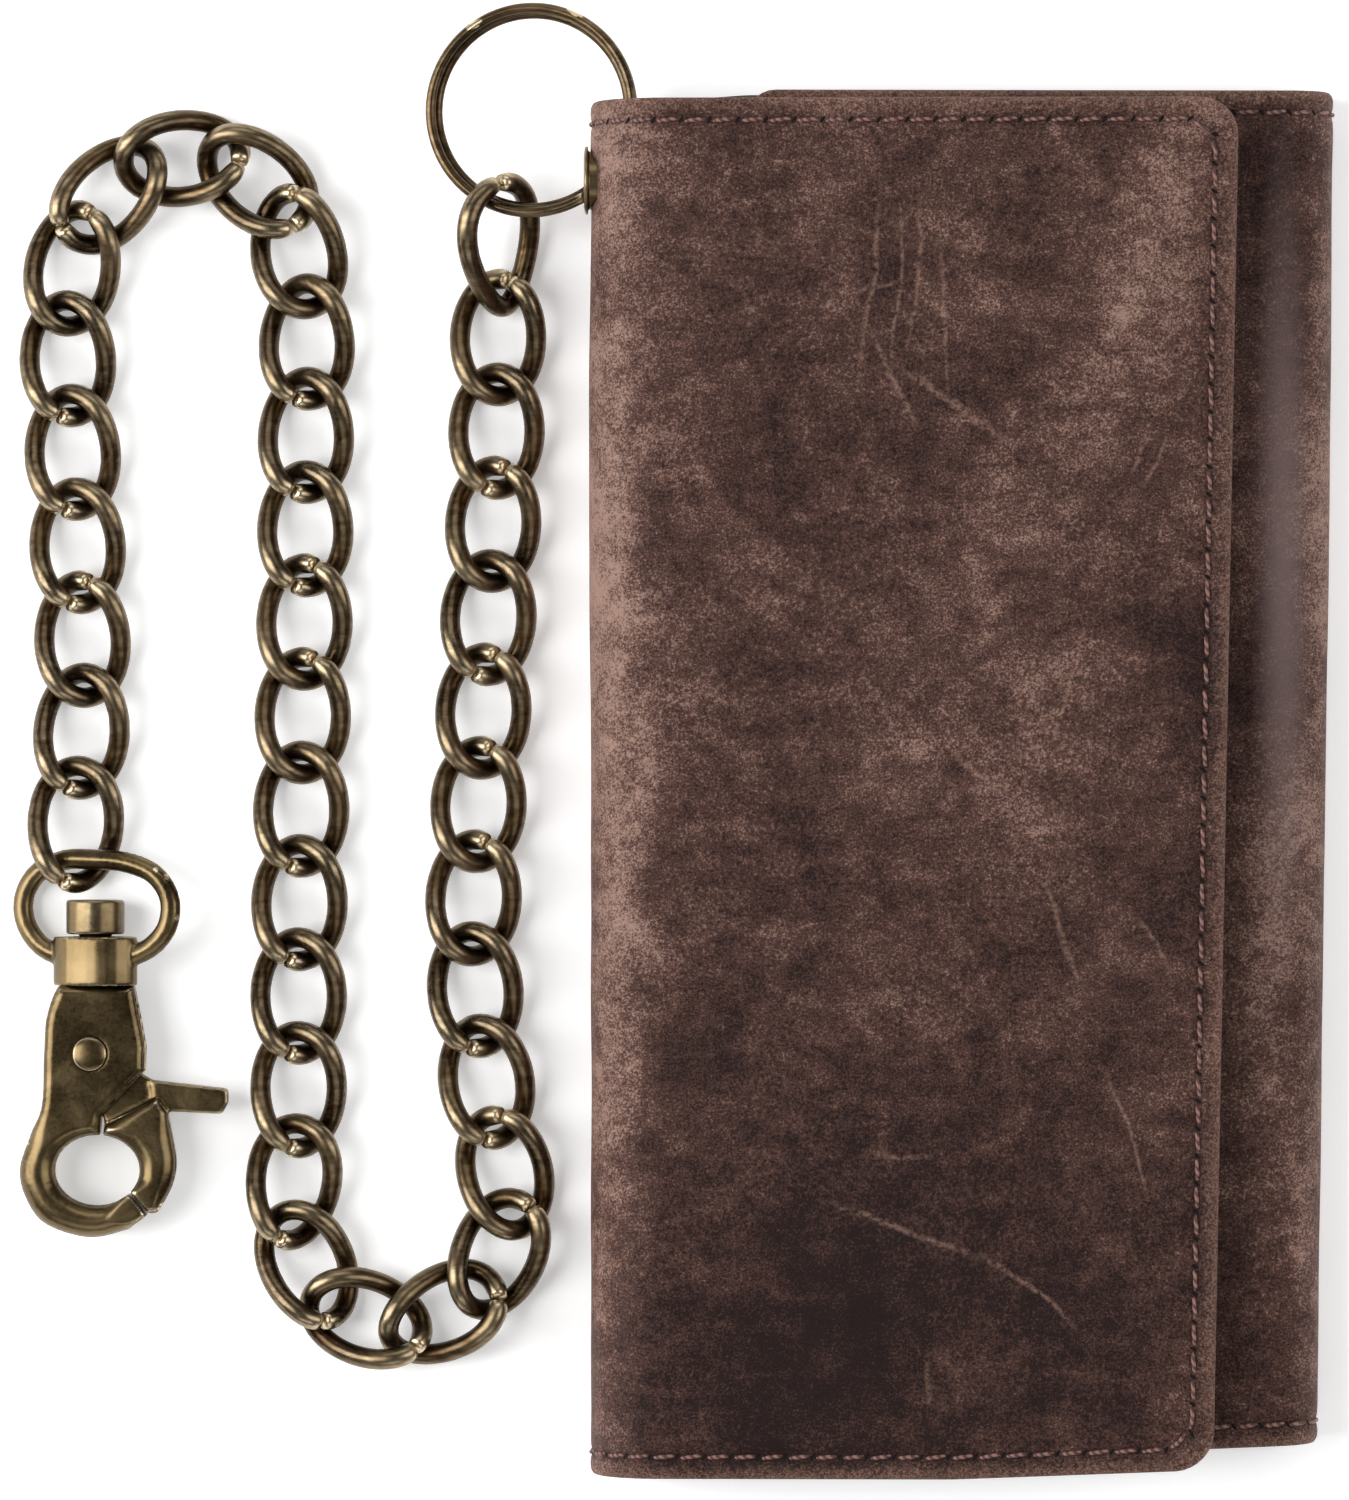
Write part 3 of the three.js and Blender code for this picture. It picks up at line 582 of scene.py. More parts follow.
def rise_at(points, x):
    """The height of a line of straight runs at x. The first and last run go on past their ends."""
    last = len(points) - 1
    run = next((i for i in range(1, last) if x <= points[i][0]), last)
    (x0, rise0), (x1, rise1) = points[run - 1], points[run]
    return rise0 + (rise1 - rise0) * (x - x0) / (x1 - x0)


def skewed(x, y, skew):
    """Moves a plain place to where it is on the out-of-square wallet."""
    up = (y - MIDDLE_Y) / HALF_HEIGHT
    rise = rise_at(skew["top"], x) * (1 + up) / 2 + rise_at(skew["bottom"], x) * (1 - up) / 2
    return x + skew["taper"] * up * (x - WALLET_LEFT) / WIDTH, y + rise


class Path:
    """A sheet's cross-section in X and Z: straight and round stretches, measured along its outer face."""

    def __init__(self, *stretches, left_is_out=False):
        self.stretches = []
        self.length = 0.0
        self.side = -1 if left_is_out else 1
        for kind, *numbers in stretches:
            if kind == "line":
                x0, z0, x1, z1 = numbers
                size = math.hypot(x1 - x0, z1 - z0)
            else:
                radius, start, end = numbers[2:]
                size = abs(rad(end - start)) * radius
            self.stretches.append((kind, numbers, self.length, size))
            self.length += size

    def at(self, s):
        """The point, the outward direction and how far round a fold it is, at a distance along the path."""
        for kind, numbers, begin, size in self.stretches:
            if s <= begin + size + 1e-6 or (kind, numbers) == self.stretches[-1][:2]:
                share = (s - begin) / size
                if kind == "line":
                    x0, z0, x1, z1 = numbers
                    normal = (self.side * (z1 - z0) / size, -self.side * (x1 - x0) / size)
                    return x0 + (x1 - x0) * share, z0 + (z1 - z0) * share, normal, 0.0
                cx, cz, radius, start, end = numbers
                angle = rad(start + (end - start) * share)
                out = (math.cos(angle), math.sin(angle))
                round_fold = math.sin(math.pi * min(max(share, 0), 1))
                return cx + radius * out[0], cz + radius * out[1], out, round_fold
        raise ValueError(s)


# Distances in from an edge at which a sheet has lines of points.
EDGE_ROWS = (0.0, 0.12, 0.45, 0.95, 1.6, 2.3, 2.7, 3.1, 3.5, 4.1, 5.0, 6.2)
NO_SEAM = -10.0
CORNER_REACH = 12.0           # how far in from a free edge the points move to make its corners round


def spaced(low, high, step, fine_low, fine_high):
    """Distances from low to high, with closer ones by either end that is an edge."""
    start = [low + value for value in EDGE_ROWS] if fine_low else [low]
    stop = [high - value for value in reversed(EDGE_ROWS)] if fine_high else [high]
    count = max(2, round((stop[0] - start[-1]) / step))
    middle = [start[-1] + (stop[0] - start[-1]) * i / count for i in range(1, count)]
    return start + middle + stop


class Sheet:
    """A piece of leather: a path run from the wallet's bottom to its top, with rounded corners.

    Turned is how far in its edges round over. Relief is the height of its soft waves. Pillow is the depth of
    the groove that its stitches pull, on a sheet that is sewn from outside.
    """

    def __init__(self, path, thickness, skew, inset=0.0, corner=0.0, free_start=False, free_end=True,
                 turned=1.5, relief=0.0, pillow=0.0, start_corner=0.0):
        self.path = path
        self.thickness = thickness
        self.skew = skew
        self.low = WALLET_BOTTOM + inset
        self.high = WALLET_TOP - inset
        self.corner = corner
        self.start_corner = start_corner
        self.free_start = free_start
        self.free_end = free_end
        self.turned = turned
        self.relief = relief
        self.pillow = pillow
        self.seam_straight = path.length - SEAM_CORNER
        self.seam_height = self.high - self.low - 2 * SEAM_CORNER

    def corner_cut(self, across, radius):
        """How far a rounded corner cuts into a row that is this far from the top or bottom."""
        if across >= radius:
            return 0.0
        return radius - math.sqrt(max(0.0, radius * radius - (radius - across) ** 2))

    def edge_distance(self, s, y):
        across = min(y - self.low, self.high - y)
        distance = across
        for is_free, ahead, radius in ((self.free_end, self.path.length - s, self.corner),
                                       (self.free_start, s, self.start_corner)):
            if not is_free:
                continue
            if ahead < radius and across < radius:
                distance = min(distance, radius - math.hypot(radius - ahead, radius - across))
            else:
                distance = min(distance, ahead)
        return max(distance, 0.0)

    def seam_coordinate(self, s, y):
        """The distance along the seam that runs round the sheet at an even distance from its edge."""
        side_top = self.seam_straight + SEAM_TURN
        ahead = self.path.length - s
        from_top = self.high - y
        from_bottom = y - self.low
        if not self.free_end:
            return s
        if ahead < SEAM_CORNER and from_top < SEAM_CORNER:
            angle = math.atan2(SEAM_CORNER - ahead, SEAM_CORNER - from_top)
            return self.seam_straight + angle * SEAM_RADIUS
        if ahead < SEAM_CORNER and from_bottom < SEAM_CORNER:
            angle = math.atan2(SEAM_CORNER - from_bottom, SEAM_CORNER - ahead)
            return side_top + self.seam_height + angle * SEAM_RADIUS
        if ahead < min(from_top, from_bottom):
            return side_top + from_top - SEAM_CORNER
        if from_top < from_bottom:
            return s
        return side_top + self.seam_height + SEAM_TURN + (self.seam_straight - s)

    def seam_length(self):
        return 2 * self.seam_straight + 2 * SEAM_TURN + self.seam_height

    def seam_place(self, along):
        """The point of the sheet (s, y) at a distance along its seam."""
        if along < self.seam_straight:
            return along, self.high - SEAM_INSET
        along -= self.seam_straight
        if along < SEAM_TURN:
            angle = along / SEAM_RADIUS
            s = self.seam_straight + SEAM_RADIUS * math.sin(angle)
            return s, self.high - SEAM_CORNER + SEAM_RADIUS * math.cos(angle)
        along -= SEAM_TURN
        if along < self.seam_height:
            return self.path.length - SEAM_INSET, self.high - SEAM_CORNER - along
        along -= self.seam_height
        if along < SEAM_TURN:
            angle = along / SEAM_RADIUS
            s = self.seam_straight + SEAM_RADIUS * math.cos(angle)
            return s, self.low + SEAM_CORNER - SEAM_RADIUS * math.sin(angle)
        along -= SEAM_TURN
        return self.seam_straight - along, self.low + SEAM_INSET

    def surface_offset(self, s, y, distance):
        """How far the outer face stands off its plain shape: rounded edges, seam groove and soft waves."""
        offset = 0.0
        if distance < self.turned:
            fall = self.thickness * 0.5
            offset -= fall * (1 - math.sqrt(max(0.0, 1 - (1 - distance / self.turned) ** 2)))
        if self.pillow:
            offset -= self.pillow * math.exp(-((distance - SEAM_INSET) / 0.75) ** 2)
            offset -= self.pillow * 0.6 * (1 - smooth_step(3.0, 7.0, distance))
        if self.relief:
            place = Vector((s * 0.022, y * 0.022, 3.7))
            wave = noise.noise(place) + 0.45 * noise.noise(place * 2.7)
            offset += self.relief * (wave - 0.4) * smooth_step(0.0, 9.0, distance)
        return offset

    def point(self, s, y, depth=0.0, lift=0.0):
        """A place in the frame: depth is measured in from the outer face."""
        x, z, (nx, nz), _ = self.path.at(s)
        out = lift - depth
        if depth == 0.0:
            out += self.surface_offset(s, y, self.edge_distance(s, y))
        x, y = skewed(x + nx * out, y, self.skew)
        return x, y, z + nz * out

    def build(self, name, outer, inner, rim, step=1.6):
        columns = spaced(0.0, self.path.length, step, self.free_start, self.free_end)
        rows = spaced(self.low, self.high, step, True, True)
        vertices, edges, seams, folds = [], [], [], []
        for face in (0, 1):
            for y in rows:
                across = min(y - self.low, self.high - y)
                end_cut = self.corner_cut(across, self.corner)
                start_cut = self.corner_cut(across, self.start_corner)
                for s in columns:
                    ahead = self.path.length - s
                    if self.free_end and ahead < CORNER_REACH:
                        s -= end_cut * (1 - ahead / CORNER_REACH)
                    if self.free_start and s < CORNER_REACH:
                        s += start_cut * (1 - s / CORNER_REACH)
                    distance = self.edge_distance(s, y)
                    if face == 0:
                        vertices.append(self.point(s, y))
                    else:
                        rounding = 0.25 * self.thickness * (1 - smooth_step(0.0, 0.5, distance))
                        vertices.append(self.point(s, y, self.thickness - rounding))
                    edges.append(distance)
                    seams.append(self.seam_coordinate(s, y) if self.pillow else NO_SEAM)
                    folds.append(self.path.at(s)[3])
        across_count = len(columns)
        count = across_count * len(rows)
        faces, kinds = [], []
        for j in range(len(rows) - 1):
            for i in range(across_count - 1):
                a = j * across_count + i
                quad = (a, a + 1, a + 1 + across_count, a + across_count)
                faces.append(quad)
                kinds.append(0)
                faces.append(tuple(index + count for index in reversed(quad)))
                kinds.append(1)
        loop = list(range(across_count))
        loop += [j * across_count + across_count - 1 for j in range(1, len(rows))]
        loop += [(len(rows) - 1) * across_count + i for i in range(across_count - 2, -1, -1)]
        loop += [j * across_count for j in range(len(rows) - 2, 0, -1)]
        for a, b in zip(loop, loop[1:] + loop[:1]):
            faces.append((b, a, a + count, b + count))
            kinds.append(2)
        piece = make_object(name, vertices, faces, None)
        for material in (outer, inner, rim):
            piece.data.materials.append(material)
        piece.data.polygons.foreach_set("material_index", kinds)
        for label, values in (("edge", edges), ("seam", seams), ("fold", folds)):
            attribute = piece.data.attributes.new(label, "FLOAT", "POINT")
            attribute.data.foreach_set("value", values)
        return outward(piece)


STITCH = dict(radius=0.3, gap=0.7, dip=0.42, rise=0.2, sides=6, steps=6)


def stitch_centre(sheet, seam_place, along, share, slant):
    """A stitch's middle line at a share of its length, with its sideways and outward directions."""
    here = Vector(sheet.point(*seam_place(along), 0.0, 0.02))
    ahead = Vector(sheet.point(*seam_place(along + 0.2), 0.0, 0.02))
    out = (Vector(sheet.point(*seam_place(along), 0.0, 1.0)) - here).normalized()
    forward = (ahead - here).normalized()
    side = out.cross(forward)
    dip = STITCH["dip"] * abs(2 * share - 1) ** 4
    return here + out * (STITCH["rise"] - dip) + side * slant * (share - 0.5) * 2, side, out


def make_stitches(name, sheet, start, end, seam_place=None):
    """One thread stitch after another along a seam, each dipping into the needle holes at its ends."""
    seam_place = seam_place or sheet.seam_place
    vertices, faces = [], []
    sides, steps = STITCH["sides"], STITCH["steps"]
    first = math.ceil(start / STITCH_PITCH)
    last = math.floor(end / STITCH_PITCH)
    for k in range(first, last):
        slant = random.uniform(0.10, 0.22)
        length = STITCH_PITCH - STITCH["gap"]
        base = len(vertices)
        for i in range(steps + 1):
            share = i / steps
            along = k * STITCH_PITCH + STITCH["gap"] / 2 + length * share
            centre, side, out = stitch_centre(sheet, seam_place, along, share, slant)
            radius = STITCH["radius"] * (1.0 - 0.35 * abs(2 * share - 1) ** 3)
            for m in range(sides):
                angle = 2 * math.pi * m / sides
                across = side * math.cos(angle) * radius
                up = out * math.sin(angle) * radius * 0.8
                vertices.append(centre + across + up)
        for i in range(steps):
            faces += band(base + i * sides, base + (i + 1) * sides, sides)
        faces += caps(base, base + steps * sides, sides)
    return outward(make_object(name, vertices, faces, thread))


left_fold = (WALLET_LEFT + LEFT_FOLD_RADIUS, LEFT_FOLD_RADIUS, LEFT_FOLD_RADIUS)
right_fold = (WALLET_RIGHT - RIGHT_FOLD_RADIUS, RIGHT_FOLD_RADIUS, RIGHT_FOLD_RADIUS)
FLAP_TOP = 2 * LEFT_FOLD_RADIUS
INNER_TOP = 2 * RIGHT_FOLD_RADIUS


def cut_eyelet_hole(piece):
    """Opens the wall of the left fold where the eyelet goes through, and makes the hole round."""
    middle = Vector((EYELET["y"], EYELET["z"])) * MM
    hole = (EYELET["barrel"] + 0.1) * MM
    shell = bmesh.new()
    shell.from_mesh(piece.data)

    def away(point):
        return (Vector((point.y, point.z)) - middle).length if point.x < -40 * MM else 1.0

    inside = [face for face in shell.faces if away(face.calc_center_median()) < hole]
    bmesh.ops.delete(shell, geom=inside, context="FACES")
    rims = [edge for edge in shell.edges if edge.is_boundary]
    for vertex in {vertex for edge in rims for vertex in edge.verts}:
        off = Vector((vertex.co.y, vertex.co.z)) - middle
        off *= hole / max(off.length, 1e-6)
        vertex.co.y, vertex.co.z = middle + off
    bmesh.ops.bridge_loops(shell, edges=rims)
    shell.to_mesh(piece.data)
    shell.free()


def make_front():
    path = Path(("line", BACK_JOIN_LEFT, 0.0, left_fold[0], 0.0), ("arc", *left_fold, 270, 90),
                ("line", left_fold[0], FLAP_TOP, FLAP_EDGE, FLAP_TOP), left_is_out=True)
    sheet = Sheet(path, LEATHER, FLAP_SKEW, corner=FLAP_CORNER, relief=0.35, pillow=0.22)
    piece = sheet.build("flap_leather", outer_leather, lining_leather, edge_paint)
    cut_eyelet_hole(piece)
    stitches = make_stitches("flap_stitches", sheet, 6, sheet.seam_length() - 6)
    for part in (piece, stitches):
        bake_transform(part)
    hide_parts("front_flap")


def make_inner():
    path = Path(("line", BACK_JOIN_RIGHT, 0.0, right_fold[0], 0.0), ("arc", *right_fold, -90, 90),
                ("line", right_fold[0], INNER_TOP, INNER_EDGE, INNER_TOP))
    sheet = Sheet(path, LEATHER, BACK_SKEW, corner=INNER_CORNER, relief=0.25, pillow=0.22)
    piece = sheet.build("inner_leather", outer_leather, lining_leather, edge_paint)
    stitches = make_stitches("inner_stitches", sheet, 4, sheet.seam_length() - 4)
    for part in (piece, stitches):
        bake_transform(part)
    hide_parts("inner_panel")


def make_back():
    path = Path(("line", BACK_JOIN_LEFT, 0.0, BACK_JOIN_RIGHT, 0.0))
    sheet = Sheet(path, LEATHER, BACK_SKEW, free_end=False, pillow=0.22)
    piece = sheet.build("back_leather", outer_leather, lining_leather, edge_paint)
    finish_piece(piece, "wallet", "outer_leather", "back_panel")
    seams = (("back_top_stitches", sheet.high - SEAM_INSET), ("back_bottom_stitches", sheet.low + SEAM_INSET))
    for name, y in seams:
        stitches = make_stitches(name, sheet, 0, path.length, lambda along: (along, y))
        finish_piece(stitches, "wallet", "outer_leather")


make_front()
make_inner()
make_back()


# ---------- chain and ring ----------
def make_tube(name, points, radii, material, sides=16):
    """A round wire through points, of a radius at each. The section is carried along without twisting."""
    last = len(points) - 1
    tangents = [(points[min(i + 1, last)] - points[max(i - 1, 0)]).normalized() for i in range(last + 1)]
    side = tangents[0].orthogonal().normalized()
    vertices, faces = [], []
    for point, radius, tangent in zip(points, radii, tangents):
        side = (side - tangent * side.dot(tangent)).normalized()
        other = tangent.cross(side)
        for m in range(sides):
            angle = 2 * math.pi * m / sides
            vertices.append(point + (side * math.cos(angle) + other * math.sin(angle)) * radius)
    for i in range(last):
        faces += band(i * sides, (i + 1) * sides, sides)
    faces += caps(0, last * sides, sides)
    return outward(make_object(name, vertices, faces, material))


def link_point(link, t):
    width = link["half_width"] * (1 + link["flare"] * math.sin(t))
    return Vector((width * math.cos(t), link["half_length"] * math.sin(t), link["twist"] * math.sin(2 * t)))


def make_link(node, link, place, cut_at):
    """A bent wire link, open by a hair at its butt joint, with small dents in its wire."""
    steps = 64
    cap = 3
    start = rad(cut_at) + rad(link["gap"]) / 2
    sweep = 2 * math.pi - rad(link["gap"])
    flaw = random.uniform(0.0, 100.0)
    points, radii = [], []
    for i in range(steps + 1):
        t = start + sweep * i / steps
        wander = Vector((noise.noise(Vector((flaw, t, 0.0))), noise.noise(Vector((flaw, t, 5.0))), 0.0))
        points.append(place @ (link_point(link, t) + wander * 0.02))
        radii.append(WIRE * (WIRE_SHARE + 0.01 * noise.noise(Vector((flaw, 3 * t, 9.0)))))
    for i in range(cap):
        shrink = 1 - 0.20 * (1 - i / cap) ** 2
        radii[i] *= shrink
        radii[-1 - i] *= shrink
    wire = make_tube(node + "_wire", points, radii, brass)
    for vertex in wire.data.vertices:
        spot = vertex.co / MM * 0.9 + Vector((flaw, 0, 0))
        dent = max(0.0, noise.noise(spot) - 0.35) * 0.16
        vertex.co -= vertex.normal * dent * MM
    return finish_piece(wire, node, "antique_brass", node)


def resting_height(link, roll):
    """How high a link's centre is when it lies rolled over on the table."""
    lowest = 0.0
    for degrees in range(0, 360, 5):
        t = rad(degrees)
        across = link["half_width"] * math.cos(t) * math.sin(rad(roll))
        up = link["twist"] * math.sin(2 * t) * math.cos(rad(roll))
        lowest = max(lowest, abs(up - across))
    return lowest + WIRE


def chain_places():
    course = [run[1:] for run in CHAIN_COURSE for _ in range(run[0])]
    bearing = Vector((*CHAIN_START, 0.0))
    places = []
    for i, (heading, roll, pitch) in enumerate(course):
        turn_in = heading - course[max(i - 1, 0)][0]
        turn_out = course[min(i + 1, len(course) - 1)][0] - heading
        along = Vector((math.sin(rad(heading)), -math.cos(rad(heading)), 0.0))
        centre = bearing + along * (LINK_REACH - TURN_LOSS * abs(turn_in))
        bearing = centre + along * (LINK_REACH - TURN_LOSS * abs(turn_out))
        centre.z = resting_height(LINK, roll)
        turn = rotation(heading, "Z") @ rotation(roll, "Y") @ rotation(pitch, "X")
        places.append(Matrix.Translation(centre) @ turn)
    return places


def make_chain():
    for i, place in enumerate(chain_places()):
        cut_at = LINK["cut_at"] + (0 if CUT_ENDS[i] == "s" else 180)
        make_link(f"chain_link_{i + 1:02d}", LINK, place, cut_at)
    p = JOINING_PLACE
    turn = rotation(p["pitch"], "X") @ rotation(p["roll"], "Y") @ rotation(p["heading"], "Z")
    place = Matrix.Translation((p["x"], p["y"], p["z"])) @ turn
    make_link("joining_link", JOINING_LINK, place, JOINING_LINK["cut_at"])


def make_ring():
    r = RING
    end_gap = r["jog_half"] + r["end_margin"]
    start = r["jog"] + end_gap
    sweep = 720 - 2 * end_gap
    drop = (WALLET_LEFT - r["x"]) * math.tan(rad(r["tilt"]))
    place = Matrix.Translation((r["x"], r["y"], EYELET["z"] - drop)) @ rotation(-r["tilt"], "Y")
    steps = 260
    points, radii = [], []
    for i in range(steps + 1):
        angle = start + sweep * i / steps
        climbed = smooth_step(r["jog"] + 360 - r["jog_half"], r["jog"] + 360 + r["jog_half"], angle)
        radius = r["radius"] + r["spread"] * climbed
        height = r["pitch"] * (climbed - 0.5)
        point = Vector((radius * math.cos(rad(angle)), radius * math.sin(rad(angle)), height))
        points.append(place @ point)
        radii.append(r["wire"])
    radii[0] = radii[-1] = r["wire"] * 0.85
    wire = make_tube("key_ring_wire", points, radii, brass)
    finish_piece(wire, "ring", "antique_brass", "key_ring")


def make_lathe(name, profile, material, place):
    """A turned piece: a profile of (radius, height) points spun round Z, then moved to its place."""
    segments = 48
    vertices, faces = [], []
    for radius, height in profile:
        for i in range(segments):
            angle = 2 * math.pi * i / segments
            vertices.append(place @ Vector((radius * math.cos(angle), radius * math.sin(angle), height)))
    for j in range(len(profile) - 1):
        faces += band(j * segments, (j + 1) * segments, segments)
    piece = make_object(name, vertices, faces, material)
    shell = bmesh.new()
    shell.from_mesh(piece.data)
    bmesh.ops.remove_doubles(shell, verts=shell.verts, dist=1e-6)
    bmesh.ops.recalc_face_normals(shell, faces=shell.faces)
    shell.to_mesh(piece.data)
    shell.free()
    return piece


def rounded(profile, radius, closed=False):
    """Rounds the corners of a profile."""
    steps = 4
    result = []
    count = len(profile)
    for i, corner in enumerate(profile):
        if not closed and i in (0, count - 1):
            result.append(corner)
            continue
        here = Vector(corner)
        before = Vector(profile[i - 1]) - here
        after = Vector(profile[(i + 1) % count]) - here
        size = min(radius, before.length * 0.45, after.length * 0.45)
        a = here + before.normalized() * size
        b = here + after.normalized() * size
        for k in range(steps + 1):
            t = k / steps
            result.append(tuple(a * (1 - t) ** 2 + here * 2 * t * (1 - t) + b * t * t))
    if closed:
        result.append(result[0])
    return result


def make_eyelet():
    e = EYELET
    place = Matrix.Translation((WALLET_LEFT, e["y"], e["z"])) @ rotation(90, "Y")
    inner = LEATHER + 0.6
    gap = 0.15
    barrel = [(e["bore"], -0.75), (e["flange"], -0.6), (e["flange"], -gap), (e["barrel"], -gap),
              (e["barrel"], inner + 0.8), (e["bore"], inner + 0.8)]
    washer = [(e["barrel"] + 0.3, LEATHER + 0.3), (e["flange"], LEATHER + 0.3), (e["flange"], inner + 0.6),
              (e["barrel"] + 0.3, inner + 0.6)]
    turned = make_lathe("eyelet_barrel_turned", rounded(barrel, 0.35, closed=True), hook_brass, place)
    finish_piece(turned, "wallet", "antique_brass", "eyelet_barrel")
    turned = make_lathe("eyelet_washer_turned", rounded(washer, 0.2, closed=True), brass, place)
    finish_piece(turned, "wallet", "antique_brass", "eyelet_washer")


make_chain()
make_ring()
make_eyelet()


# ---------- trigger snap ----------
HOOK_GRAIN = 0.28             # the size of the faces that the cast pieces are made of
SLIDER_GRAIN = 0.12


def cast_copy(node, grain, rounding, passes):
    """A cast-metal copy of a CAD solid: even small faces, with every sharp edge rounded over."""
    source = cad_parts[node]
    piece = bpy.data.objects.new(node + "_cast", source.data.copy())
    bpy.context.scene.collection.objects.link(piece)
    piece.matrix_world = source.matrix_world.copy()
    piece.data.materials.clear()
    piece.data.materials.append(hook_brass)
    for kind, settings in (("REMESH", dict(mode="VOXEL", voxel_size=grain * MM)),
                           ("SMOOTH", dict(factor=0.5, iterations=passes))):
        modifier = piece.modifiers.new(kind.lower(), kind)
        for key, value in settings.items():
            setattr(modifier, key, value)
    bpy.context.view_layer.update()
    shaped = bpy.data.meshes.new_from_object(piece.evaluated_get(bpy.context.evaluated_depsgraph_get()))
    piece.modifiers.clear()
    piece.data = shaped
    if rounding:
        round_over(piece, rounding)
    shaped.polygons.foreach_set("use_smooth", [True] * len(shaped.polygons))
    return piece


def nudge(piece, shift_at):
    """Moves each point of a piece by what shift_at gives for its place, in millimetres."""
    world = piece.matrix_world
    back = world.inverted()
    for vertex in piece.data.vertices:
        place = world @ vertex.co
        vertex.co = back @ (place + shift_at(place) * MM)


def round_over(piece, radius_at):
    """Rolls the flat faces of a plate down towards its walls, as a casting's edges are."""
    world = piece.matrix_world
    flat = {v.index for v in piece.data.vertices if abs((world.to_3x3() @ v.normal).z) > 0.6}
    heights = [(world @ v.co).z for v in piece.data.vertices]
    middle = (max(heights) + min(heights)) / 2
    outer = 0.66 * (max(heights) - middle)
    walls = [v for v in piece.data.vertices if v.index not in flat and abs(heights[v.index] - middle) > outer]
    tree = kdtree.KDTree(len(walls))
    for i, vertex in enumerate(walls):
        place = world @ vertex.co
        tree.insert((place.x, place.y, 0), i)
    tree.balance()
    for vertex in piece.data.vertices:
        place = world @ vertex.co
        half = abs(place.z - middle)
        if half < 0.4 * MM:
            continue
        radius = radius_at(place) * MM
        distance = tree.find((place.x, place.y, 0))[2] if vertex.index in flat else 0.0
        if distance >= radius:
            continue
        fall = radius - math.sqrt(max(0.0, radius ** 2 - (radius - distance) ** 2))
        limit = max(heights) - middle - fall
        if half > limit:
            place.z = middle + math.copysign(limit, place.z - middle)
            vertex.co = world.inverted() @ place


def make_hook():
    jaw_top = (HOOK[1] - 21.0) * MM
    neck = HOOK[1] * MM
    jaw_tip = Vector((HOOK[0] + 5.4, HOOK[1] - 34.0)) * MM

    def near_tip(place):
        return 0.15 + 0.85 * smooth_step(1.0 * MM, 4.5 * MM, (Vector((place.x, place.y)) - jaw_tip).length)

    def body_rounding(place):
        return (1.2 + 1.1 * smooth_step(jaw_top, jaw_top - 5.0 * MM, place.y)) * near_tip(place)

    def trigger_rounding(place):
        return (0.7 + 1.3 * smooth_step(jaw_top + 2.0 * MM, jaw_top - 4.0 * MM, place.y)) * near_tip(place)

    def closed_up(place):
        off_tip = (Vector((place.x, place.y)) - jaw_tip).length
        at_tip = 0.28 * smooth_step(3.0 * MM, 0.5 * MM, off_tip)
        at_neck = 0.45 * smooth_step(neck - 7.0 * MM, neck - 4.8 * MM, place.y)
        return Vector((0.65, 0.76, 0.0)) * at_tip + Vector((0.0, at_neck, 0.0))

    body = cast_copy("hook_body", HOOK_GRAIN, body_rounding, 3)
    nudge(body, closed_up)
    finish_piece(body, "hook", "antique_brass", "hook_body")
    trigger = cast_copy("hook_trigger", HOOK_GRAIN, trigger_rounding, 3)
    finish_piece(trigger, "trigger", "antique_brass", "hook_trigger")
    loop = cast_copy("swivel_loop", HOOK_GRAIN, None, 6)
    finish_piece(loop, "loop", "antique_brass", "swivel_loop")
    make_hook_fittings()


def make_hook_fittings():
    """The turned post and pin, and the trigger's coil spring."""
    post_place = Matrix.Translation(HOOK) @ rotation(-90, "X")
    post = [(0, -3.4), (2.2, -3.4), (2.2, 3.75), (4.05, 3.75), (4.05, 8.5), (0, 8.5)]
    turned = make_lathe("swivel_post_turned", rounded(post, 0.45), hook_brass, post_place)
    finish_piece(turned, "hook", "antique_brass", "swivel_post")

    pin_place = Matrix.Translation(Vector(HOOK) + Vector((PIN["x"], PIN["y"], 0)))
    high = PIN["half_depth"]
    dome = [(PIN["head"] * math.cos(rad(a)), high + PIN["dome"] * math.sin(rad(a))) for a in range(0, 91, 15)]
    profile = [(r, -h) for r, h in reversed(dome)] + [(1.3, -high), (1.3, high)] + dome
    pin = make_lathe("trigger_pin_turned", profile, hook_brass, pin_place)
    finish_piece(pin, "hook", "antique_brass", "trigger_pin")

    coil = []
    turns, steps, coil_radius, wire_radius = 3, 96, 0.9, 0.22
    for i in range(steps + 1):
        share = i / steps
        angle = 2 * math.pi * turns * share
        y, z = coil_radius * math.cos(angle), coil_radius * math.sin(angle)
        coil.append(Vector(HOOK) + Vector((-4.9 + 2.7 * share, -9.5 + y, z)))
    spring = make_tube("trigger_spring_wire", coil, [wire_radius] * len(coil), spring_steel, sides=10)
    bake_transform(spring)
    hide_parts("trigger_spring")


make_hook()


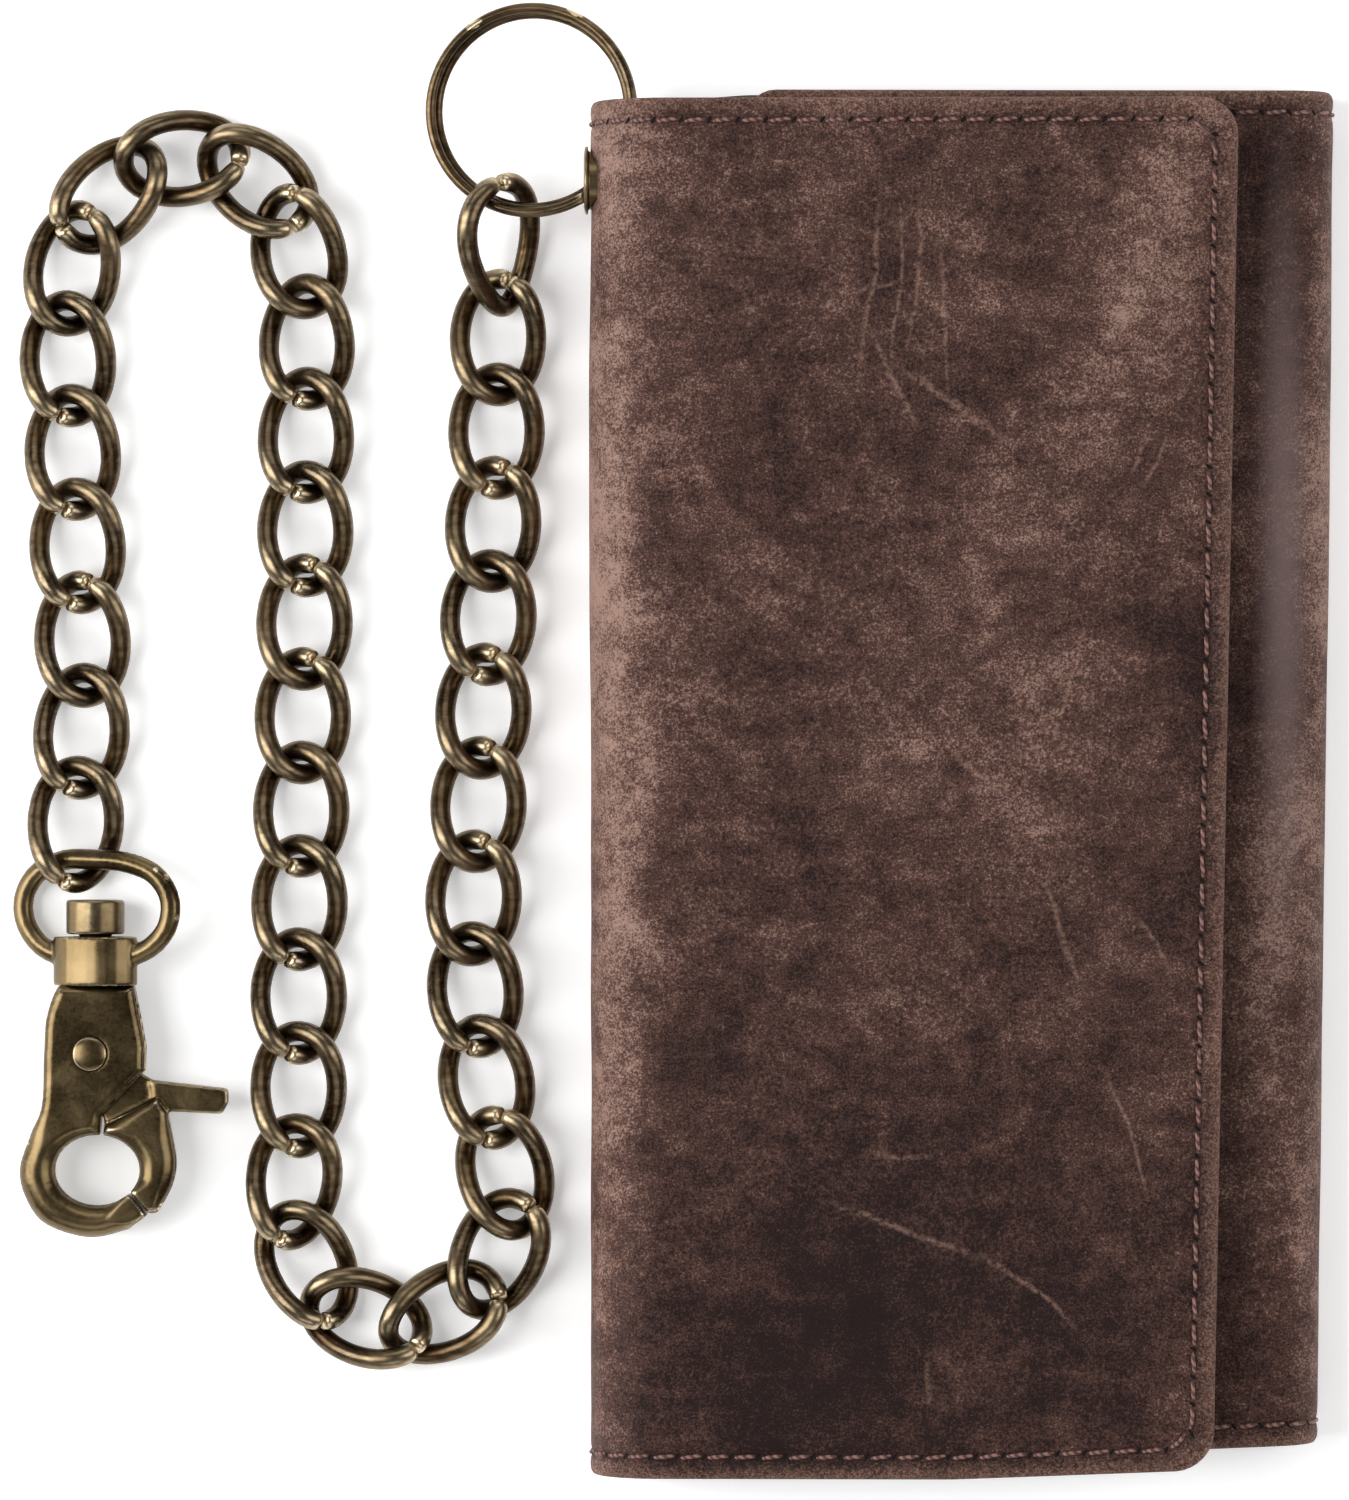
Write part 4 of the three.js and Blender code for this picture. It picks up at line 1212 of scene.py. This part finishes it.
# ---------- inside the wallet ----------
def make_lining(node, body, skew, span, layer, inset, corners, look_down=False, stitched=False):
    """A thin flat leather sheet with rounded corners. look_down puts its good face underneath."""
    left, right = span
    low, high = layer
    level = low if look_down else high
    path = Path(("line", left, level, right, level), left_is_out=not look_down)
    sheet = Sheet(path, high - low, skew, inset=inset, corner=corners, start_corner=corners, free_start=True,
                  turned=0.35)
    name = node + "_leather"
    piece = sheet.build(name, lining_leather, lining_leather, edge_paint, step=4.0)
    finish_piece(piece, body, "lining_leather", node)
    if stitched:
        stitches = make_stitches(name + "_stitches", sheet, 6, sheet.seam_length() - 6)
        finish_piece(stitches, body, "lining_leather")


def make_linings():
    """The bill compartment's wall, the two linings and the card pockets."""
    make_lining("back_lining", "wallet", BACK_SKEW, (-42, 42), (6.2, 8.6), 1.5, 3.0)
    make_lining("inner_lining", "inner", BACK_SKEW, (INNER_EDGE, 42), (9.0, 10.3), 0.4, 3.0, look_down=True)
    make_lining("flap_lining", "flap", FLAP_SKEW, (-40, 36), (17.0, 18.1), 0.4, 4.5,
                look_down=True, stitched=True)
    pockets = ((-20, 16.1, 16.7), (-8, 15.3, 15.8), (4, 14.6, 15.0))
    for i, (left, low, high) in enumerate(pockets):
        node = f"card_pocket_{i + 1}"
        make_lining(node, "flap", FLAP_SKEW, (left, 24), (low, high), 3.0, 2.0, look_down=True)


def make_snaps():
    low, high = 12.8, 16.7
    flange, post, bore = SNAP["flange"], SNAP["post"], SNAP["bore"]
    stud = [(0, low), (flange, low), (flange, low + 0.7), (post, low + 0.9), (post - 0.15, low + 1.7),
            (post, low + 2.2), (post - 0.6, low + 2.8), (0, low + 2.8)]
    socket = [(bore, high - 2.6), (3.3, high - 2.6), (flange, high - 1.9), (flange, high), (bore, high)]
    for where, side in (("upper", 1), ("lower", -1)):
        place = Matrix.Translation((SNAP["x"], MIDDLE_Y + side * SNAP["y"], 0))
        turned = make_lathe(f"{where}_stud_turned", rounded(stud, 0.25), brass, place)
        finish_piece(turned, "inner", "antique_brass", f"{where}_snap_stud")
        turned = make_lathe(f"{where}_socket_turned", rounded(socket, 0.35, closed=True), brass, place)
        finish_piece(turned, "flap", "antique_brass", f"{where}_snap_socket")


def add_box(vertices, faces, low, high, bevel):
    """A box with its edges along Y cut off, added to a list of vertices and faces."""
    (x0, y0, z0), (x1, y1, z1) = low, high
    ring = [(x0 + bevel, z0), (x1 - bevel, z0), (x1, z0 + bevel), (x1, z1 - bevel),
            (x1 - bevel, z1), (x0 + bevel, z1), (x0, z1 - bevel), (x0, z0 + bevel)]
    base = len(vertices)
    for y in (y0, y1):
        vertices += [(x, y, z) for x, z in ring]
    faces += band(base, base + len(ring), len(ring))
    faces += caps(base, base + len(ring), len(ring))


def make_zip():
    """Woven tape, a row of small teeth standing out of it, and the slider."""
    z = ZIP
    vertices, faces = [], []
    add_box(vertices, faces, (z["left"], MIDDLE_Y - z["half_length"], z["from"]),
            (z["right"], MIDDLE_Y + z["half_length"], z["to"]), 0.15)
    tape = outward(make_object("zip_tape_woven", vertices, faces, zip_fabric, smooth=False))
    finish_piece(tape, "inner", "zip_fabric", "zip_tape")
    vertices, faces = [], []
    count = int(2 * z["half_length"] / z["tooth_pitch"]) - 3
    middle = (z["from"] + z["to"]) / 2
    for i in range(count):
        y = MIDDLE_Y + (i - (count - 1) / 2) * z["tooth_pitch"]
        lean = 0.18 * (1 if i % 2 else -1)
        add_box(vertices, faces, (z["left"] - 0.28, y - 0.32, middle - 0.75 + lean),
                (z["left"] + 0.1, y + 0.32, middle + 0.75 + lean), 0.12)
    teeth = outward(make_object("zip_teeth", vertices, faces, brass, smooth=False))
    finish_piece(teeth, "inner", "antique_brass")
    slider = cast_copy("zip_slider", SLIDER_GRAIN, None, 3)
    finish_piece(slider, "slider", "antique_brass", "zip_slider")


make_linings()
make_snaps()
make_zip()


# ---------- light and table ----------
TABLE_LEVEL = -0.08           # a hair under the wallet's back
TABLE_HALF_SIZE = 3000.0
WALL_HEIGHT = 400.0
# The table's glow rises from low to high between two distances from the frame's middle, in metres.
GLOW = dict(near=0.35, far=0.9, low=0.28, high=1.0)
WORLD_LIGHT = 0.11
# Soft lights: name, place (metres), width and height (metres) and power (watts). They all face one place.
LIGHTS = (
    ("left_softbox", (-1.0, 0.05, 0.8), (0.7, 1.3), 18.5),
    ("right_softbox", (0.95, 0.0, 0.8), (0.7, 1.3), 7.5),
    ("far_softbox", (-0.05, 1.1, 0.9), (1.2, 0.5), 4.0),
    ("near_softbox", (-0.05, -1.1, 0.9), (1.2, 0.5), 3.0),
)
LIGHTS_FACE = (-0.03, 0, 0)


def make_area_light(name, place, size, power):
    data = bpy.data.lights.new(name, "AREA")
    data.shape = "RECTANGLE"
    data.size, data.size_y = size
    data.energy = power
    light = bpy.data.objects.new(name, data)
    light.location = place
    light.rotation_euler = (Vector(LIGHTS_FACE) - Vector(place)).to_track_quat("-Z", "Y").to_euler()
    bpy.context.scene.collection.objects.link(light)


def table_material():
    """Matt white that glows a little, more so far from the wallet."""
    n = Nodes("white_table")
    place = n.object_coordinates()
    grain = n.noise(place, 60, 3)
    distance = n.vector_math("LENGTH", place)
    glow = n.ramp(distance, GLOW["near"], GLOW["far"], GLOW["low"], GLOW["high"])
    n.set(Base_Color=n.mix(grain, colour(250, 250, 250), colour(253, 253, 253)), Roughness=0.9,
          Normal=n.bump(grain, 0.02, 0.0001), Emission_Color=(1.0, 1.0, 1.0, 1.0), Emission_Strength=glow)
    n.shader.inputs["Specular IOR Level"].default_value = 0.0
    return n.material


def make_table():
    """A white table, and a low white wall a long way off round it."""
    white = table_material()
    size = TABLE_HALF_SIZE
    corners = [(-size, -size, TABLE_LEVEL), (size, -size, TABLE_LEVEL), (size, size, TABLE_LEVEL),
               (-size, size, TABLE_LEVEL)]
    table = make_object("table_top", corners, [(0, 1, 2, 3)], white, smooth=False)
    high = [(x, y, WALL_HEIGHT) for x, y, _ in corners]
    sides = [(i, (i + 1) % 4, (i + 1) % 4 + 4, i + 4) for i in range(4)]
    wall = make_object("low_wall", corners + high, sides, white, smooth=False)


def make_studio():
    world = bpy.data.worlds.new("studio")
    world.use_nodes = True
    background = world.node_tree.nodes["Background"].inputs
    background["Color"].default_value = (1, 1, 1, 1)
    background["Strength"].default_value = WORLD_LIGHT
    scene = bpy.context.scene
    scene.world = world
    scene.view_settings.view_transform = "Standard"
    scene.view_settings.look = "None"
    for light in LIGHTS:
        make_area_light(*light)


make_table()
make_studio()
